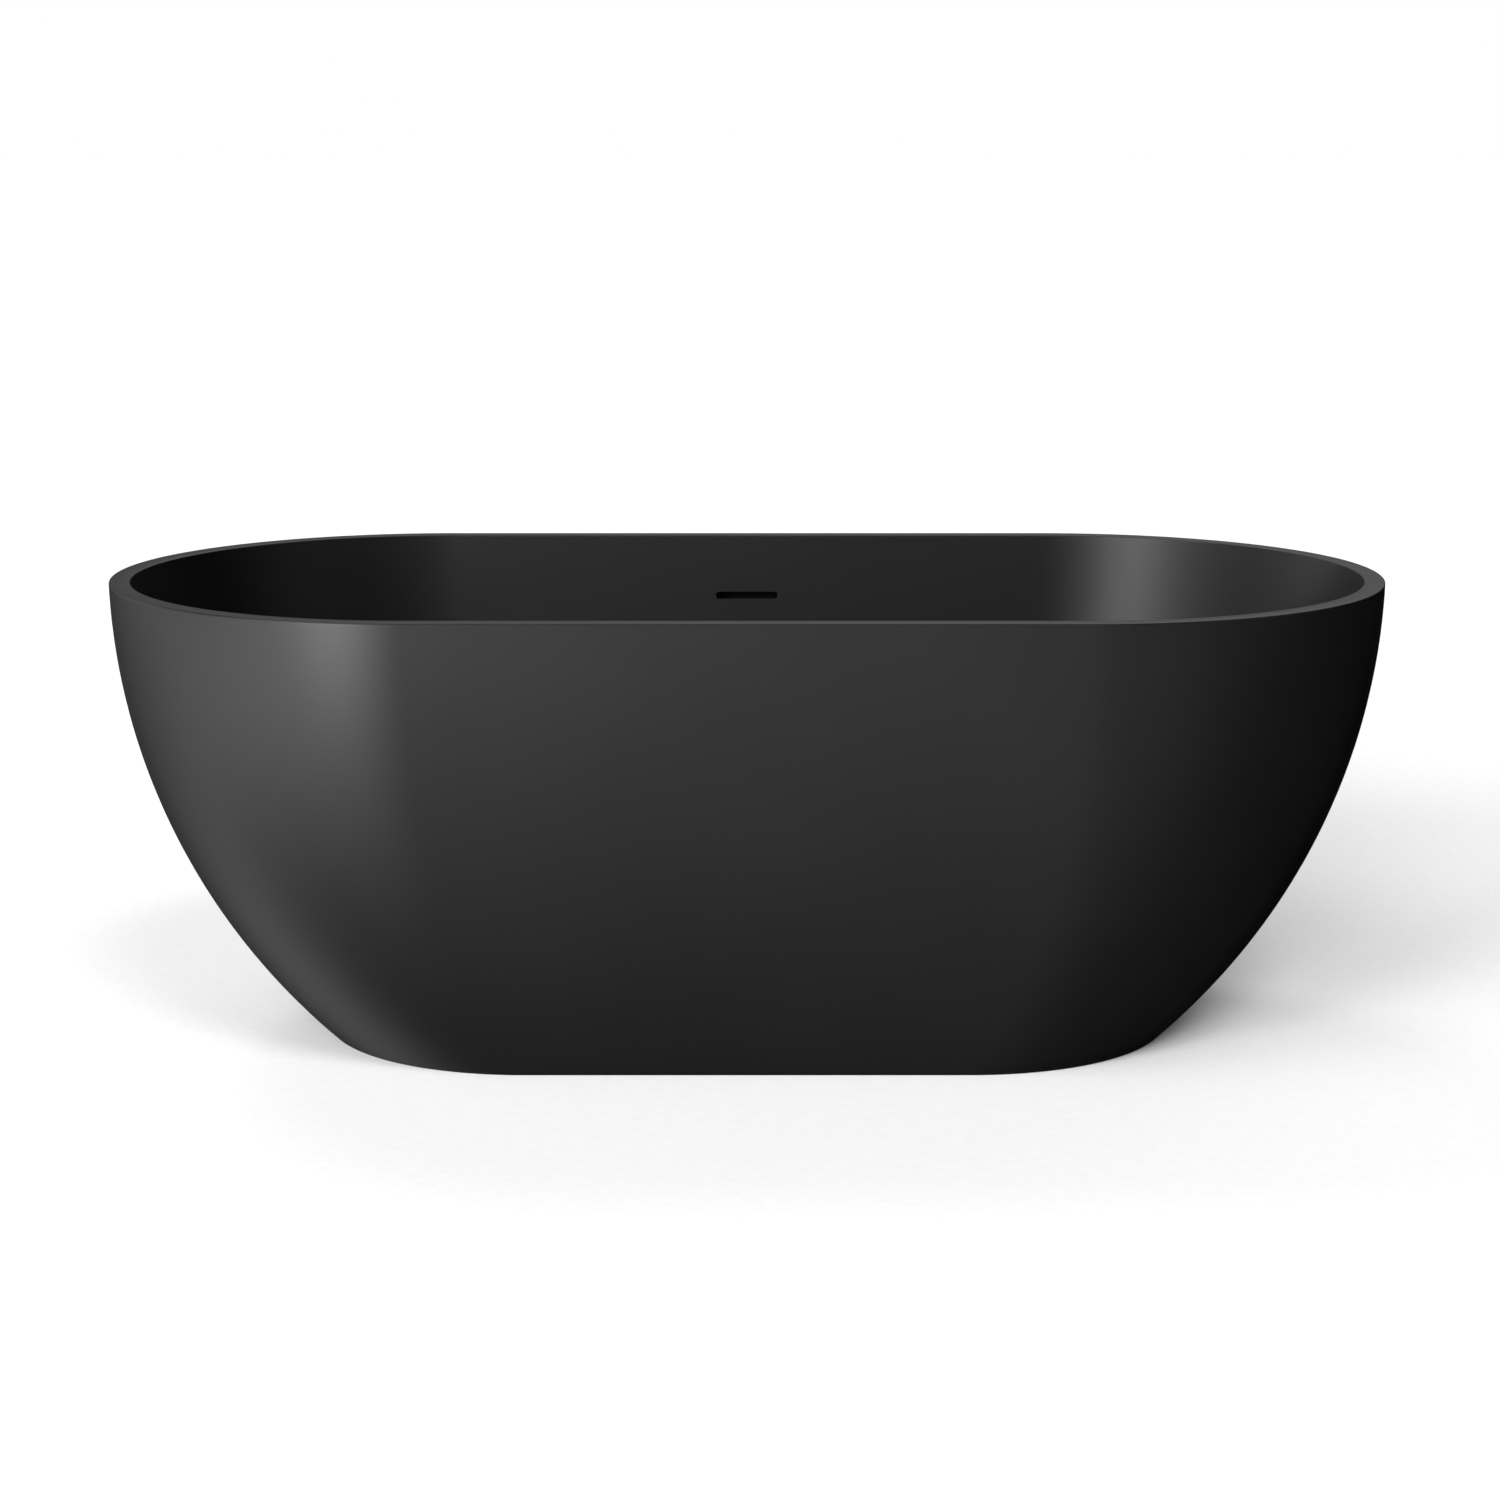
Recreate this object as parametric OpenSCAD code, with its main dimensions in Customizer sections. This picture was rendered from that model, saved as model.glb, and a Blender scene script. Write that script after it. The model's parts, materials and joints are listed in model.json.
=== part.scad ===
// Freestanding double-ended bathtub. A moulded basin is bonded by its rim into a moulded outer shell,
// and stands on a steel cradle with levelling feet. A slot in the basin's back wall drains through a
// hose into a press-to-open waste.
// Millimetres, +Z up. The origin is on the floor under the middle of the tub, and X runs along it.

/* [Tub] */
// Length of the tub across the ends of its rim
tub_length = 1600; // [1300:10:1950]
// Width of the tub across its rim
tub_width = 800; // [660:5:970]
// Height of the rim above the floor
tub_height = 580; // [480:5:700]
// Length of the outline that stands on the floor
base_length = 1070; // [890:5:1290]
// Width of the outline that stands on the floor
base_width = 522; // [480:2:630]
// Width of the flat top of the rim
rim_width = 26; // [24:0.5:34]
// Thickness of the rim's bonding flange
rim_thickness = 12; // [8:0.5:18]
// Bevel on both edges of the rim
rim_bevel = 1.5; // [0.5:0.25:3]
// Height above the rim at which the outer walls would stand upright
outer_rise = 15; // [5:1:40]

/* [Outer shell] */
// Wall thickness of the outer shell
shell_wall = 8; // [6:0.5:10]
// Width of the lip turned in along the floor
lip_width = 22; // [15:1:30]
// Thickness of that lip
lip_thickness = 8; // [6:0.5:12]

/* [Basin] */
// Wall thickness of the basin
basin_wall = 10; // [8:0.5:12]
// Height of the basin's floor at its edge
floor_height = 145; // [142:1:175]
// Fall of the floor towards the waste
floor_fall = 5; // [2:0.5:8]
// Thickness of the floor at the waste
floor_thickness = 12; // [10:0.5:18]
// Radius between the floor and the walls
floor_fillet = 90; // [70:1:110]
// Distance from the outer surface to the basin's surface at floor height
floor_gap = 62; // [50:1:76]
// Height above the rim at which the basin's walls would stand upright
inner_rise = 220; // [150:5:300]

/* [Overflow] */
// Length of the overflow slot
slot_length = 84; // [60:1:101]
// Height of the overflow slot
slot_height = 9; // [6:0.5:12]
// Depth of the slot's middle below the rim
slot_depth = 81; // [66:1:98]
// Wall left behind the flat pocket that the overflow box is screwed to
pocket_wall = 7.5; // [6:0.5:8.5]
// Depth of the overflow box from front to back
duct_depth = 11; // [9:0.5:12.5]
// Wall thickness of the overflow box
duct_wall = 1.8; // [1.4:0.1:2.4]
// Length of the box from the slot down to its hose spigot
duct_drop = 122; // [100:1:146]
// Outer diameter of the overflow hose
hose_od = 23; // [21:0.5:24]
// Bore of the overflow hose
hose_bore = 18.8; // [17:0.2:19]
// Length of the two hose spigots
spigot_length = 24; // [18:1:30]

/* [Waste] */
// Diameter of the waste's visible flange
flange_d = 70; // [60:1:84]
// Thickness of that flange
flange_t = 4; // [3:0.5:5]
// Diameter of the press-to-open cap
cap_d = 62; // [52:1:66]
// Height of the cap at its middle
cap_h = 6; // [4:0.5:8]
// Diameter of the waste's throat
throat_d = 40; // [34:1:44]
// Diameter of the threaded tail under the flange
tail_d = 47; // [45:0.5:50]
// Length of the threaded tail below the floor
tail_length = 55; // [50:1:62]
// Lift of the cap when it is open
cap_lift = 10; // [6:0.5:12]
// Diameter of the tailpiece that a trap fits on
outlet_d = 40; // [34:0.5:42]
// Height of the tailpiece's free end above the floor
outlet_height = 5; // [2:0.5:12]
// Height of the middle of the overflow inlet above the floor
inlet_height = 72; // [68:0.5:74]

/* [Cradle] */
// Thickness of the plywood board bonded under the basin
board_t = 12; // [9:0.5:15]
// Side of the square steel tube
tube = 25; // [20:0.5:30]
// Wall of the square steel tube
tube_wall = 2; // [1.5:0.1:3]
// Distance of the long rails' middles from the board's edge
rail_inset = 20; // [16:0.5:30]
// Length of the long rails
rail_length = 760; // [680:5:770]
// Distance between the two middle crossbars
crossbar_spacing = 240; // [200:5:288]
// Distance between the end feet, along the tub
foot_spacing = 670; // [560:5:690]

/* [Feet] */
// Diameter of the foot's threaded stud
stud_d = 12; // [10:0.5:14]
// Pitch of the stud's thread
stud_pitch = 1.75; // [1.5:0.25:2]
// Diameter of the foot's pad
pad_d = 50; // [40:1:60]
// Height of the foot's pad
pad_h = 14; // [11:0.5:17]
// Travel of a foot up from its middle setting
foot_up = 5; // [2:0.5:5]
// Travel of a foot down from its middle setting
foot_down = 15; // [5:1:20]

/* [Hidden] */
$fn = 64;
end_steps = 32;      // facets round each end of a basin or shell outline
wall_steps = 16;     // rings up each wall
fillet_steps = 6;    // rings up the floor fillet
hose_sides = 16;
fit = 0.1;           // radial room between a thread or shaft and its hole
far = 400;           // long enough to cut through the whole tub

// ---- Wall profiles: arcs of a circle, seen in a lengthwise or a crosswise section ----

// Half size at height z of a wall that is x_top at z_top and x_low at z_low, and upright at z = apex.
function arc_reach(x_top, x_low, z_top, z_low, apex) =
    let (p = apex - z_top, q = apex - z_low, d = x_top - x_low)
    ((q * q - p * p) / d + d) / 2;
function arc_half(z, x_top, x_low, z_top, z_low, apex) =
    let (u = arc_reach(x_top, x_low, z_top, z_low, apex), p = apex - z_top)
    x_top - u + sqrt(u * u + p * p - pow(apex - z, 2));
// How far the same wall leans inwards per unit of fall.
function arc_lean(z, x_top, x_low, z_top, z_low, apex) =
    let (u = arc_reach(x_top, x_low, z_top, z_low, apex), p = apex - z_top)
    (apex - z) / sqrt(u * u + p * p - pow(apex - z, 2));

outer_apex = tub_height + outer_rise;
inner_apex = tub_height + inner_rise;
function outer_a(z) = arc_half(z, tub_length / 2, base_length / 2, tub_height, 0, outer_apex);
function outer_b(z) = arc_half(z, tub_width / 2, base_width / 2, tub_height, 0, outer_apex);
inner_top_a = tub_length / 2 - rim_width;
inner_top_b = tub_width / 2 - rim_width;
inner_low_a = outer_a(floor_height) - floor_gap;
inner_low_b = outer_b(floor_height) - floor_gap;
function inner_a(z) = arc_half(z, inner_top_a, inner_low_a, tub_height, floor_height, inner_apex);
function inner_b(z) = arc_half(z, inner_top_b, inner_low_b, tub_height, floor_height, inner_apex);
function inner_lean_b(z) =
    arc_lean(z, inner_top_b, inner_low_b, tub_height, floor_height, inner_apex);
// A wall of thickness t, measured level across a wall that leans.
function across(t, lean) = t * sqrt(1 + lean * lean);
function shell_in_a(z) = outer_a(z)
    - across(shell_wall, arc_lean(z, tub_length / 2, base_length / 2, tub_height, 0, outer_apex));
function shell_in_b(z) = outer_b(z)
    - across(shell_wall, arc_lean(z, tub_width / 2, base_width / 2, tub_height, 0, outer_apex));

// ---- Derived places ----

seam_z = tub_height - rim_thickness;
fillet_top = floor_height + floor_fillet;
drain_z = floor_height - floor_fall;
basin_under = drain_z - floor_thickness;
flat_a = inner_low_a - floor_fillet;
flat_b = inner_low_b - floor_fillet;

board_margin = 10;
board_a = flat_a - board_margin;
board_b = flat_b - board_margin;
board_under = basin_under - board_t;
tube_under = board_under - tube;
tube_mid = board_under - tube / 2;
rail_y = board_b - rail_inset;
crossbar_length = 2 * rail_y - tube;
crossbar_xs = [-rail_length / 2 + tube / 2, -crossbar_spacing / 2,
               crossbar_spacing / 2, rail_length / 2 - tube / 2];
foot_places = [[-foot_spacing / 2, -rail_y], [foot_spacing / 2, -rail_y],
               [foot_spacing / 2, rail_y], [-foot_spacing / 2, rail_y],
               [crossbar_spacing / 2, 0]];
screw_shank_d = 4.8;
screw_head_d = 9;
screw_head_h = 3;
screw_bite = 9;
screw_places = [for (x = [-0.3, -0.2, 0.2, 0.3], s = [-1, 1]) [x * rail_length, s * rail_y]];

bush_d = stud_d + 10;
bush_foot = 3;       // how far the bush stands below the tube
stud_top = board_under - foot_up - 1;
stud_base = pad_h / 2;
wrench_af = stud_d + 5;
wrench_h = 8;
locknut_af = 1.58 * stud_d;
locknut_h = 0.75 * stud_d;

seat_gasket_t = 1.5;
lower_gasket_t = 3;
flange_under = drain_z - flange_t;
recess_d = flange_d + 1.5;
recess_z = flange_under - seat_gasket_t;
waste_hole_d = tail_d + 5;
dish_depth = 1.5;
dish_d = min(cap_d + 2, flange_d - 4);
seal_t = 2;
seal_outer_d = cap_d - 6;
seal_inner_d = throat_d + 6;
dish_z = drain_z - dish_depth;
cap_z = dish_z + seal_t;
tail_z = drain_z - tail_length;
tee_top = basin_under - lower_gasket_t;
tee_rim_d = waste_hole_d + 24;
tee_rim_t = 6;
tee_d = tail_d + 9;
board_hole_d = tee_rim_d + 14;
chamber_z = inlet_height - 12;
chamber_d = tail_d - 3;
neck_d = outlet_d + 10;
neck_length = 14;
neck_z = chamber_z - neck_length;
washer_t = 3;
nut_lip = 5;
collar_t = 2;
nut_z = neck_z - washer_t - collar_t - nut_lip;
nut_d = neck_d + 8;
nut_h = nut_lip + collar_t + washer_t + neck_length - 4;
outlet_wall = 1.8;
shoulder_d = outlet_d + 1.6;
shoulder_z = nut_z - 1;
boss_h = 5;
boss_d = 18;
cartridge_d = 17;
cartridge_h = 32;
cartridge_spigot_d = 8;
stem_d = 10;
stem_tip_d = 7;
stem_tip_h = 3.5;
cartridge_z = tail_z + boss_h;
spring_z = cartridge_z + 4;
spring_h = 9;
spring_wire_d = 0.9;
spring_turns = 5;
stem_z = spring_z + spring_h;

slot_z = tub_height - slot_depth;
slot_y = inner_b(slot_z);
slot_lean = atan(inner_lean_b(slot_z));
pocket_w = slot_length + 42;
pocket_h = slot_height + 37;
plate_w = pocket_w - 8;
plate_h = pocket_h - 6;
plate_t = 2.5;
box_gasket_t = 1.5;
window_w = slot_length + 8;
window_h = slot_height + 9;
box_y = pocket_wall + box_gasket_t;
duct_y = basin_wall + 0.5;
box_screws = [for (x = [-1, 1], z = [-1, 1]) [x * (plate_w / 2 - 5), z * (plate_h / 2 - 5)]];
box_screw_d = 3;
box_screw_head_d = 6.4;
box_screw_bite = 4;
sump_d = hose_od - 1;
// The box's hose spigot hangs midway between the basin's back and the outer shell.
spigot_mid = duct_drop + spigot_length / 2;
spigot_mid_z = slot_z - spigot_mid * cos(slot_lean) - 2 * basin_wall * sin(slot_lean);
basin_back_y = inner_b(spigot_mid_z) + across(basin_wall, inner_lean_b(spigot_mid_z));
spigot_mid_y = (basin_back_y + shell_in_b(spigot_mid_z)) / 2;
sump_y = (spigot_mid_y - slot_y + spigot_mid * sin(slot_lean)) / cos(slot_lean);
spigot_d = hose_bore - 0.8;
spigot_wall = 1.8;
hose_gap = 3;        // room between the hose and the outer shell
clamp_band_t = 1;
clamp_width = 8;
clamp_id = hose_od + 0.4;
inlet_reach = tee_d / 2 + 7 + spigot_length;

// ---- Shapes that repeat ----

// Level outline with straight sides and round ends: half length a, half width b, height z.
function outline(a, b, z) = concat(
    [for (i = [0:end_steps]) let (t = -90 + 180 * i / end_steps)
        [a - b + b * cos(t), b * sin(t), z]],
    [for (i = [0:end_steps]) let (t = 90 + 180 * i / end_steps)
        [b - a + b * cos(t), b * sin(t), z]]);

// Heights from z0 to z1 in n equal steps.
function levels(z0, z1, n) = [for (i = [0:n]) z0 + (z1 - z0) * i / n];

// Closed solid through rings of equal length, capped at both ends, or joined end to end when looped.
module skin(rings, looped = false) {
    m = len(rings);
    n = len(rings[0]);
    last = looped ? m - 1 : m - 2;
    sides = [for (j = [0:last], i = [0:n - 1])
        let (k = (j + 1) % m, h = (i + 1) % n)
        [j * n + i, k * n + i, k * n + h, j * n + h]];
    caps = looped ? [] : [[for (i = [0:n - 1]) i], [for (i = [n - 1:-1:0]) (m - 1) * n + i]];
    polyhedron(points = [for (r = rings) each r], faces = concat(sides, caps), convexity = 10);
}

module tube_bar(length) {
    difference() {
        cube([length, tube, tube], center = true);
        cube([length + 2, tube - 2 * tube_wall, tube - 2 * tube_wall], center = true);
    }
}

module ring(od, id, h) {
    difference() {
        cylinder(d = od, h = h);
        translate([0, 0, -1]) cylinder(d = id, h = h + 2);
    }
}

module hex(af, h) {
    cylinder(d = af / cos(30), h = h, $fn = 6);
}

// Puts children in the slot's frame: origin on the basin's surface, +Y out of the wall, +Z up along it.
module at_slot() {
    translate([0, slot_y, slot_z]) rotate([-slot_lean, 0, 0]) children();
}

module at_foot(i) {
    translate([foot_places[i][0], foot_places[i][1], 0]) children();
}

module stadium_plate(a, b, h) {
    translate([b - a, -b, 0]) cube([2 * (a - b), 2 * b, h]);
    for (s = [-1, 1]) translate([s * (a - b), 0, 0]) cylinder(r = b, h = h);
}

// ---- Basin and shell ----

// Rings over the basin's inside, from the flat round the waste up to the rim.
flat_spot = recess_d / 2 + 8;
basin_inside = concat(
    [outline(flat_spot + 1, flat_spot, drain_z), outline(flat_a, flat_b, floor_height)],
    [for (i = [1:fillet_steps]) let (t = 90 * i / fillet_steps,
            z = floor_height + floor_fillet * (1 - cos(t)), inset = floor_fillet * (1 - sin(t)))
        outline(inner_a(z) - inset, inner_b(z) - inset, z)],
    [for (z = levels(fillet_top, tub_height - rim_bevel, wall_steps)) if (z > fillet_top)
        outline(inner_a(z), inner_b(z), z)]);
basin_rim = [
    outline(inner_top_a + rim_bevel, inner_top_b + rim_bevel, tub_height),
    outline(tub_length / 2 - rim_bevel, tub_width / 2 - rim_bevel, tub_height),
    outline(outer_a(tub_height - rim_bevel), outer_b(tub_height - rim_bevel), tub_height - rim_bevel),
    outline(outer_a(seam_z), outer_b(seam_z), seam_z)];
// Rings down the basin's back, from under the rim's flange to its flat underside.
basin_back = concat(
    [for (z = levels(seam_z, fillet_top, wall_steps))
        outline(inner_a(z) + basin_wall, inner_b(z) + basin_wall, z)],
    [for (i = [fillet_steps - 1:-1:0]) let (t = 90 * i / fillet_steps,
            z = floor_height + floor_fillet * (1 - cos(t)),
            out = basin_wall * sin(t) - floor_fillet * (1 - sin(t)))
        outline(inner_a(z) + out, inner_b(z) + out, z - (floor_height - basin_under) * cos(t))]);

module inner_basin() {
    color("#2b2b2d") difference() {
        skin(concat(basin_inside, basin_rim, basin_back));
        translate([0, 0, recess_z]) cylinder(d = recess_d, h = far);
        translate([0, 0, basin_under - 1]) cylinder(d = waste_hole_d, h = far);
        at_slot() {
            slot_cut();
            translate([-pocket_w / 2, pocket_wall, -pocket_h / 2])
                cube([pocket_w, basin_wall, pocket_h]);
            for (p = box_screws) translate([p[0], pocket_wall - box_screw_bite - 0.5, p[1]])
                rotate([-90, 0, 0]) cylinder(d = box_screw_d + fit, h = basin_wall);
        }
    }
}

module slot_cut() {
    straight = slot_length - slot_height;
    translate([-straight / 2, -basin_wall, -slot_height / 2])
        cube([straight, 2 * basin_wall, slot_height]);
    for (s = [-1, 1]) translate([s * straight / 2, -basin_wall, 0])
        rotate([-90, 0, 0]) cylinder(d = slot_height, h = 2 * basin_wall);
}

module outer_shell() {
    outside = [for (z = levels(0, seam_z, wall_steps)) outline(outer_a(z), outer_b(z), z)];
    inside = [for (z = levels(seam_z, lip_thickness, wall_steps))
        outline(shell_in_a(z), shell_in_b(z), z)];
    lip_a = shell_in_a(lip_thickness) - lip_width;
    lip_b = shell_in_b(lip_thickness) - lip_width;
    lip = [outline(lip_a, lip_b, lip_thickness), outline(lip_a, lip_b, 0)];
    rings = concat(lip, outside, inside);
    color("#29292b") skin([for (r = rings) [for (i = [len(r) - 1:-1:0]) r[i]]], looped = true);
}

// ---- Cradle ----

module base_board() {
    color("burlywood") difference() {
        translate([0, 0, board_under]) stadium_plate(board_a, board_b, board_t);
        translate([0, 0, board_under - 1]) cylinder(d = board_hole_d, h = board_t + 2);
        for (p = screw_places) translate([p[0], p[1], board_under - 1])
            cylinder(d = screw_shank_d + fit, h = screw_bite + 2);
    }
}

module rail(side) {
    color("silver") difference() {
        translate([0, side * rail_y, tube_mid]) tube_bar(rail_length);
        for (p = foot_places) if (p[1] * side > 0) translate([p[0], p[1], tube_under - 1])
            cylinder(d = bush_d + fit, h = tube + 2);
        for (p = screw_places) if (p[1] * side > 0) translate([p[0], p[1], tube_under - 1])
            cylinder(d = screw_shank_d + 2 * fit, h = tube + 2);
    }
}

module crossbar(i) {
    color("silver") difference() {
        translate([crossbar_xs[i], 0, tube_mid]) rotate([0, 0, 90]) tube_bar(crossbar_length);
        for (p = foot_places) if (p[1] == 0 && p[0] == crossbar_xs[i])
            translate([p[0], p[1], tube_under - 1]) cylinder(d = bush_d + fit, h = tube + 2);
    }
}

module rail_end_caps() {
    bore = tube - 2 * tube_wall;
    color("dimgray") for (x = [-1, 1], y = [-1, 1])
        translate([x * rail_length / 2, y * rail_y, tube_mid]) {
            translate([x * 1, 0, 0]) cube([2, tube, tube], center = true);
            translate([-x * 5, 0, 0]) cube([10, bore - 2 * fit, bore - 2 * fit], center = true);
        }
}

module cradle_screws() {
    color("gainsboro") for (p = screw_places) translate([p[0], p[1], tube_under - screw_head_h]) {
        cylinder(d = screw_head_d, h = screw_head_h);
        cylinder(d = screw_shank_d, h = screw_head_h + tube + screw_bite);
    }
}

module foot_bushes() {
    color("silver") for (i = [0:4]) at_foot(i) translate([0, 0, tube_under - bush_foot])
        ring(bush_d, stud_d + fit, tube + bush_foot);
}

// ---- Levelling feet ----

module foot_locknut(i) {
    color("gainsboro") at_foot(i) translate([0, 0, tube_under - bush_foot - locknut_h])
        difference() {
            hex(locknut_af, locknut_h);
            translate([0, 0, -1]) cylinder(d = stud_d + fit, h = locknut_h + 2);
        }
}

module foot_stud(i) {
    color("gainsboro") at_foot(i) {
        translate([0, 0, stud_base]) cylinder(d = stud_d, h = stud_top - stud_base);
        translate([0, 0, pad_h + 1]) hex(wrench_af, wrench_h);
    }
}

module foot_pad(i) {
    socket_d = stud_d + fit;
    color("#1c1c1c") at_foot(i) difference() {
        union() {
            cylinder(d = pad_d, h = pad_h / 2);
            translate([0, 0, pad_h / 2]) cylinder(d1 = pad_d, d2 = stud_d + 12, h = pad_h / 2);
        }
        translate([0, 0, stud_base - 0.5]) cylinder(d = socket_d, h = pad_h);
    }
}

// ---- Waste ----

module waste_flange() {
    color("#242424") {
        difference() {
            union() {
                translate([0, 0, flange_under]) cylinder(d = flange_d, h = flange_t);
                translate([0, 0, tail_z]) cylinder(d = tail_d, h = flange_under - tail_z + 1);
            }
            translate([0, 0, dish_z]) cylinder(d = dish_d, h = flange_t);
            translate([0, 0, tail_z - 1]) cylinder(d = throat_d, h = far);
        }
        difference() {
            translate([0, 0, tail_z]) union() {
                cylinder(d = boss_d, h = boss_h);
                for (a = [0, 90]) rotate([0, 0, a]) translate([-throat_d / 2 - 0.5, -1.5, 0])
                    cube([throat_d + 1, 3, boss_h]);
            }
            translate([0, 0, tail_z - 1]) cylinder(d = cartridge_spigot_d + fit, h = boss_h + 2);
        }
    }
}

module waste_seat_gasket() {
    color("black") translate([0, 0, recess_z]) ring(flange_d - 1, waste_hole_d, seat_gasket_t);
}

module waste_lower_gasket() {
    color("black") translate([0, 0, tee_top]) ring(tee_rim_d, waste_hole_d, lower_gasket_t);
}

module waste_tee() {
    color("#d8d8d4") difference() {
        union() {
            translate([0, 0, tee_top - tee_rim_t]) cylinder(d = tee_rim_d, h = tee_rim_t);
            translate([0, 0, chamber_z - 4]) cylinder(d = tee_d, h = tee_top - chamber_z + 3);
            translate([0, 0, neck_z]) cylinder(d = neck_d, h = neck_length);
            translate([0, 0, inlet_height]) rotate([-90, 0, 0])
                cylinder(d = spigot_d, h = inlet_reach);
            translate([0, 0, inlet_height]) rotate([-90, 0, 0])
                cylinder(d = hose_od, h = inlet_reach - spigot_length);
        }
        translate([0, 0, tail_z - 2]) cylinder(d = tail_d + 2 * fit, h = far);
        translate([0, 0, chamber_z]) cylinder(d = chamber_d, h = far);
        translate([0, 0, neck_z - 1]) cylinder(d = outlet_d - 2 * outlet_wall, h = far);
        translate([0, 0, inlet_height]) rotate([-90, 0, 0])
            cylinder(d = spigot_d - 2 * spigot_wall, h = inlet_reach + 1);
    }
}

module tail_washer() {
    color("black") translate([0, 0, neck_z - washer_t])
        ring(neck_d - fit, outlet_d - 2 * outlet_wall, washer_t);
}

module tail_nut() {
    grips = 12;
    color("#d8d8d4") difference() {
        union() {
            translate([0, 0, nut_z]) cylinder(d = nut_d, h = nut_h);
            for (i = [0:grips - 1]) rotate([0, 0, 360 * i / grips])
                translate([nut_d / 2 - 1, -2, nut_z]) cube([3, 4, nut_h - 2]);
        }
        translate([0, 0, nut_z + nut_lip]) cylinder(d = neck_d + 2 * fit, h = far);
        translate([0, 0, nut_z - 1]) cylinder(d = shoulder_d + 4 * fit, h = far);
    }
}

module tailpiece() {
    color("#d8d8d4") difference() {
        union() {
            translate([0, 0, outlet_height]) cylinder(d = outlet_d, h = shoulder_z - outlet_height);
            translate([0, 0, shoulder_z]) cylinder(d = shoulder_d, h = 1 + nut_lip);
            translate([0, 0, nut_z + nut_lip]) cylinder(d = neck_d - fit, h = collar_t);
        }
        translate([0, 0, outlet_height - 1]) cylinder(d = outlet_d - 2 * outlet_wall, h = far);
    }
}

// ---- Press-to-open plug ----

module plug_cap() {
    edge = 2;
    dome = cap_h - edge;
    dome_r = (pow(cap_d / 2, 2) + dome * dome) / (2 * dome);
    color("#242424") translate([0, 0, cap_z]) difference() {
        intersection() {
            cylinder(d = cap_d, h = cap_h);
            translate([0, 0, cap_h - dome_r]) sphere(r = dome_r, $fn = 128);
        }
        translate([0, 0, -1]) cylinder(d = stem_tip_d + fit, h = 1 + stem_tip_h + 0.3);
    }
}

module plug_seal() {
    color("black") translate([0, 0, dish_z]) ring(seal_outer_d, seal_inner_d, seal_t);
}

module plug_stem() {
    color("goldenrod") {
        translate([0, 0, stem_z]) cylinder(d = stem_d, h = cap_z - stem_z);
        translate([0, 0, stem_z]) cylinder(d = stem_tip_d, h = cap_z - stem_z + stem_tip_h);
    }
}

module click_cartridge() {
    color("gray") translate([0, 0, cartridge_z]) difference() {
        union() {
            cylinder(d = cartridge_d, h = cartridge_h);
            translate([0, 0, -boss_h - 1]) cylinder(d = cartridge_spigot_d, h = boss_h + 2);
        }
        translate([0, 0, spring_z - cartridge_z]) cylinder(d = stem_d + 2 * fit, h = cartridge_h);
    }
}

module click_spring() {
    coil_r = stem_d / 2 - spring_wire_d;
    turn_steps = 16;
    rise = spring_h - spring_wire_d;
    rings = [for (i = [0:spring_turns * turn_steps])
        let (t = 360 * i / turn_steps,
             z = spring_z + spring_wire_d / 2 + rise * i / (spring_turns * turn_steps))
        [for (s = [0:5]) let (w = 60 * s, r = coil_r + spring_wire_d / 2 * cos(w))
            [r * cos(t), r * sin(t), z + spring_wire_d / 2 * sin(w)]]];
    color("silver") skin(rings);
}

// ---- Overflow ----

// Front outline of the overflow box, narrowing from the slot to the sump, drawn smaller by inset.
module funnel(inset, depth) {
    top = window_h / 2 + duct_wall - inset;
    low = -duct_drop + 4 + inset;
    w = window_w / 2 + duct_wall - inset;
    s = 12 - inset;
    rotate([90, 0, 0]) translate([0, 0, -depth]) linear_extrude(depth)
        polygon([[-w, top], [w, top], [w, -window_h / 2 - 4], [s, low + 8], [s, low],
                 [-s, low], [-s, low + 8], [-w, -window_h / 2 - 4]]);
}

module overflow_box() {
    sump_h = 26;
    color("#3a3a3c") at_slot() difference() {
        union() {
            translate([-plate_w / 2, box_y, -plate_h / 2]) cube([plate_w, plate_t, plate_h]);
            translate([0, duct_y, 0]) funnel(0, duct_depth);
            translate([0, sump_y, -duct_drop]) cylinder(d = sump_d, h = sump_h);
            translate([0, sump_y, -duct_drop - spigot_length])
                cylinder(d = spigot_d, h = spigot_length + 1);
        }
        translate([0, duct_y + duct_wall, 0]) funnel(duct_wall, duct_depth - 2 * duct_wall);
        translate([-window_w / 2, box_y - 1, -window_h / 2])
            cube([window_w, duct_y + duct_wall - box_y + 1.5, window_h]);
        translate([0, sump_y, -duct_drop + duct_wall])
            cylinder(d = sump_d - 2 * duct_wall, h = sump_h - 2 * duct_wall);
        translate([0, sump_y, -duct_drop - spigot_length - 1])
            cylinder(d = spigot_d - 2 * spigot_wall, h = spigot_length + 5);
        for (p = box_screws) translate([p[0], box_y - 1, p[1]]) rotate([-90, 0, 0])
            cylinder(d = box_screw_d + 4 * fit, h = plate_t + 2);
    }
}

module overflow_gasket() {
    color("black") at_slot() difference() {
        translate([-plate_w / 2, pocket_wall, -plate_h / 2]) cube([plate_w, box_gasket_t, plate_h]);
        translate([-window_w / 2, pocket_wall - 1, -window_h / 2])
            cube([window_w, box_gasket_t + 2, window_h]);
        for (p = box_screws) translate([p[0], pocket_wall - 1, p[1]]) rotate([-90, 0, 0])
            cylinder(d = box_screw_d + 4 * fit, h = box_gasket_t + 2);
    }
}

module overflow_screws() {
    color("gainsboro") at_slot() for (p = box_screws) translate([p[0], box_y + plate_t, p[1]]) {
        rotate([-90, 0, 0]) cylinder(d = box_screw_head_d, h = 2);
        rotate([90, 0, 0]) cylinder(d = box_screw_d, h = plate_t + box_gasket_t + box_screw_bite);
    }
}

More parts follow.
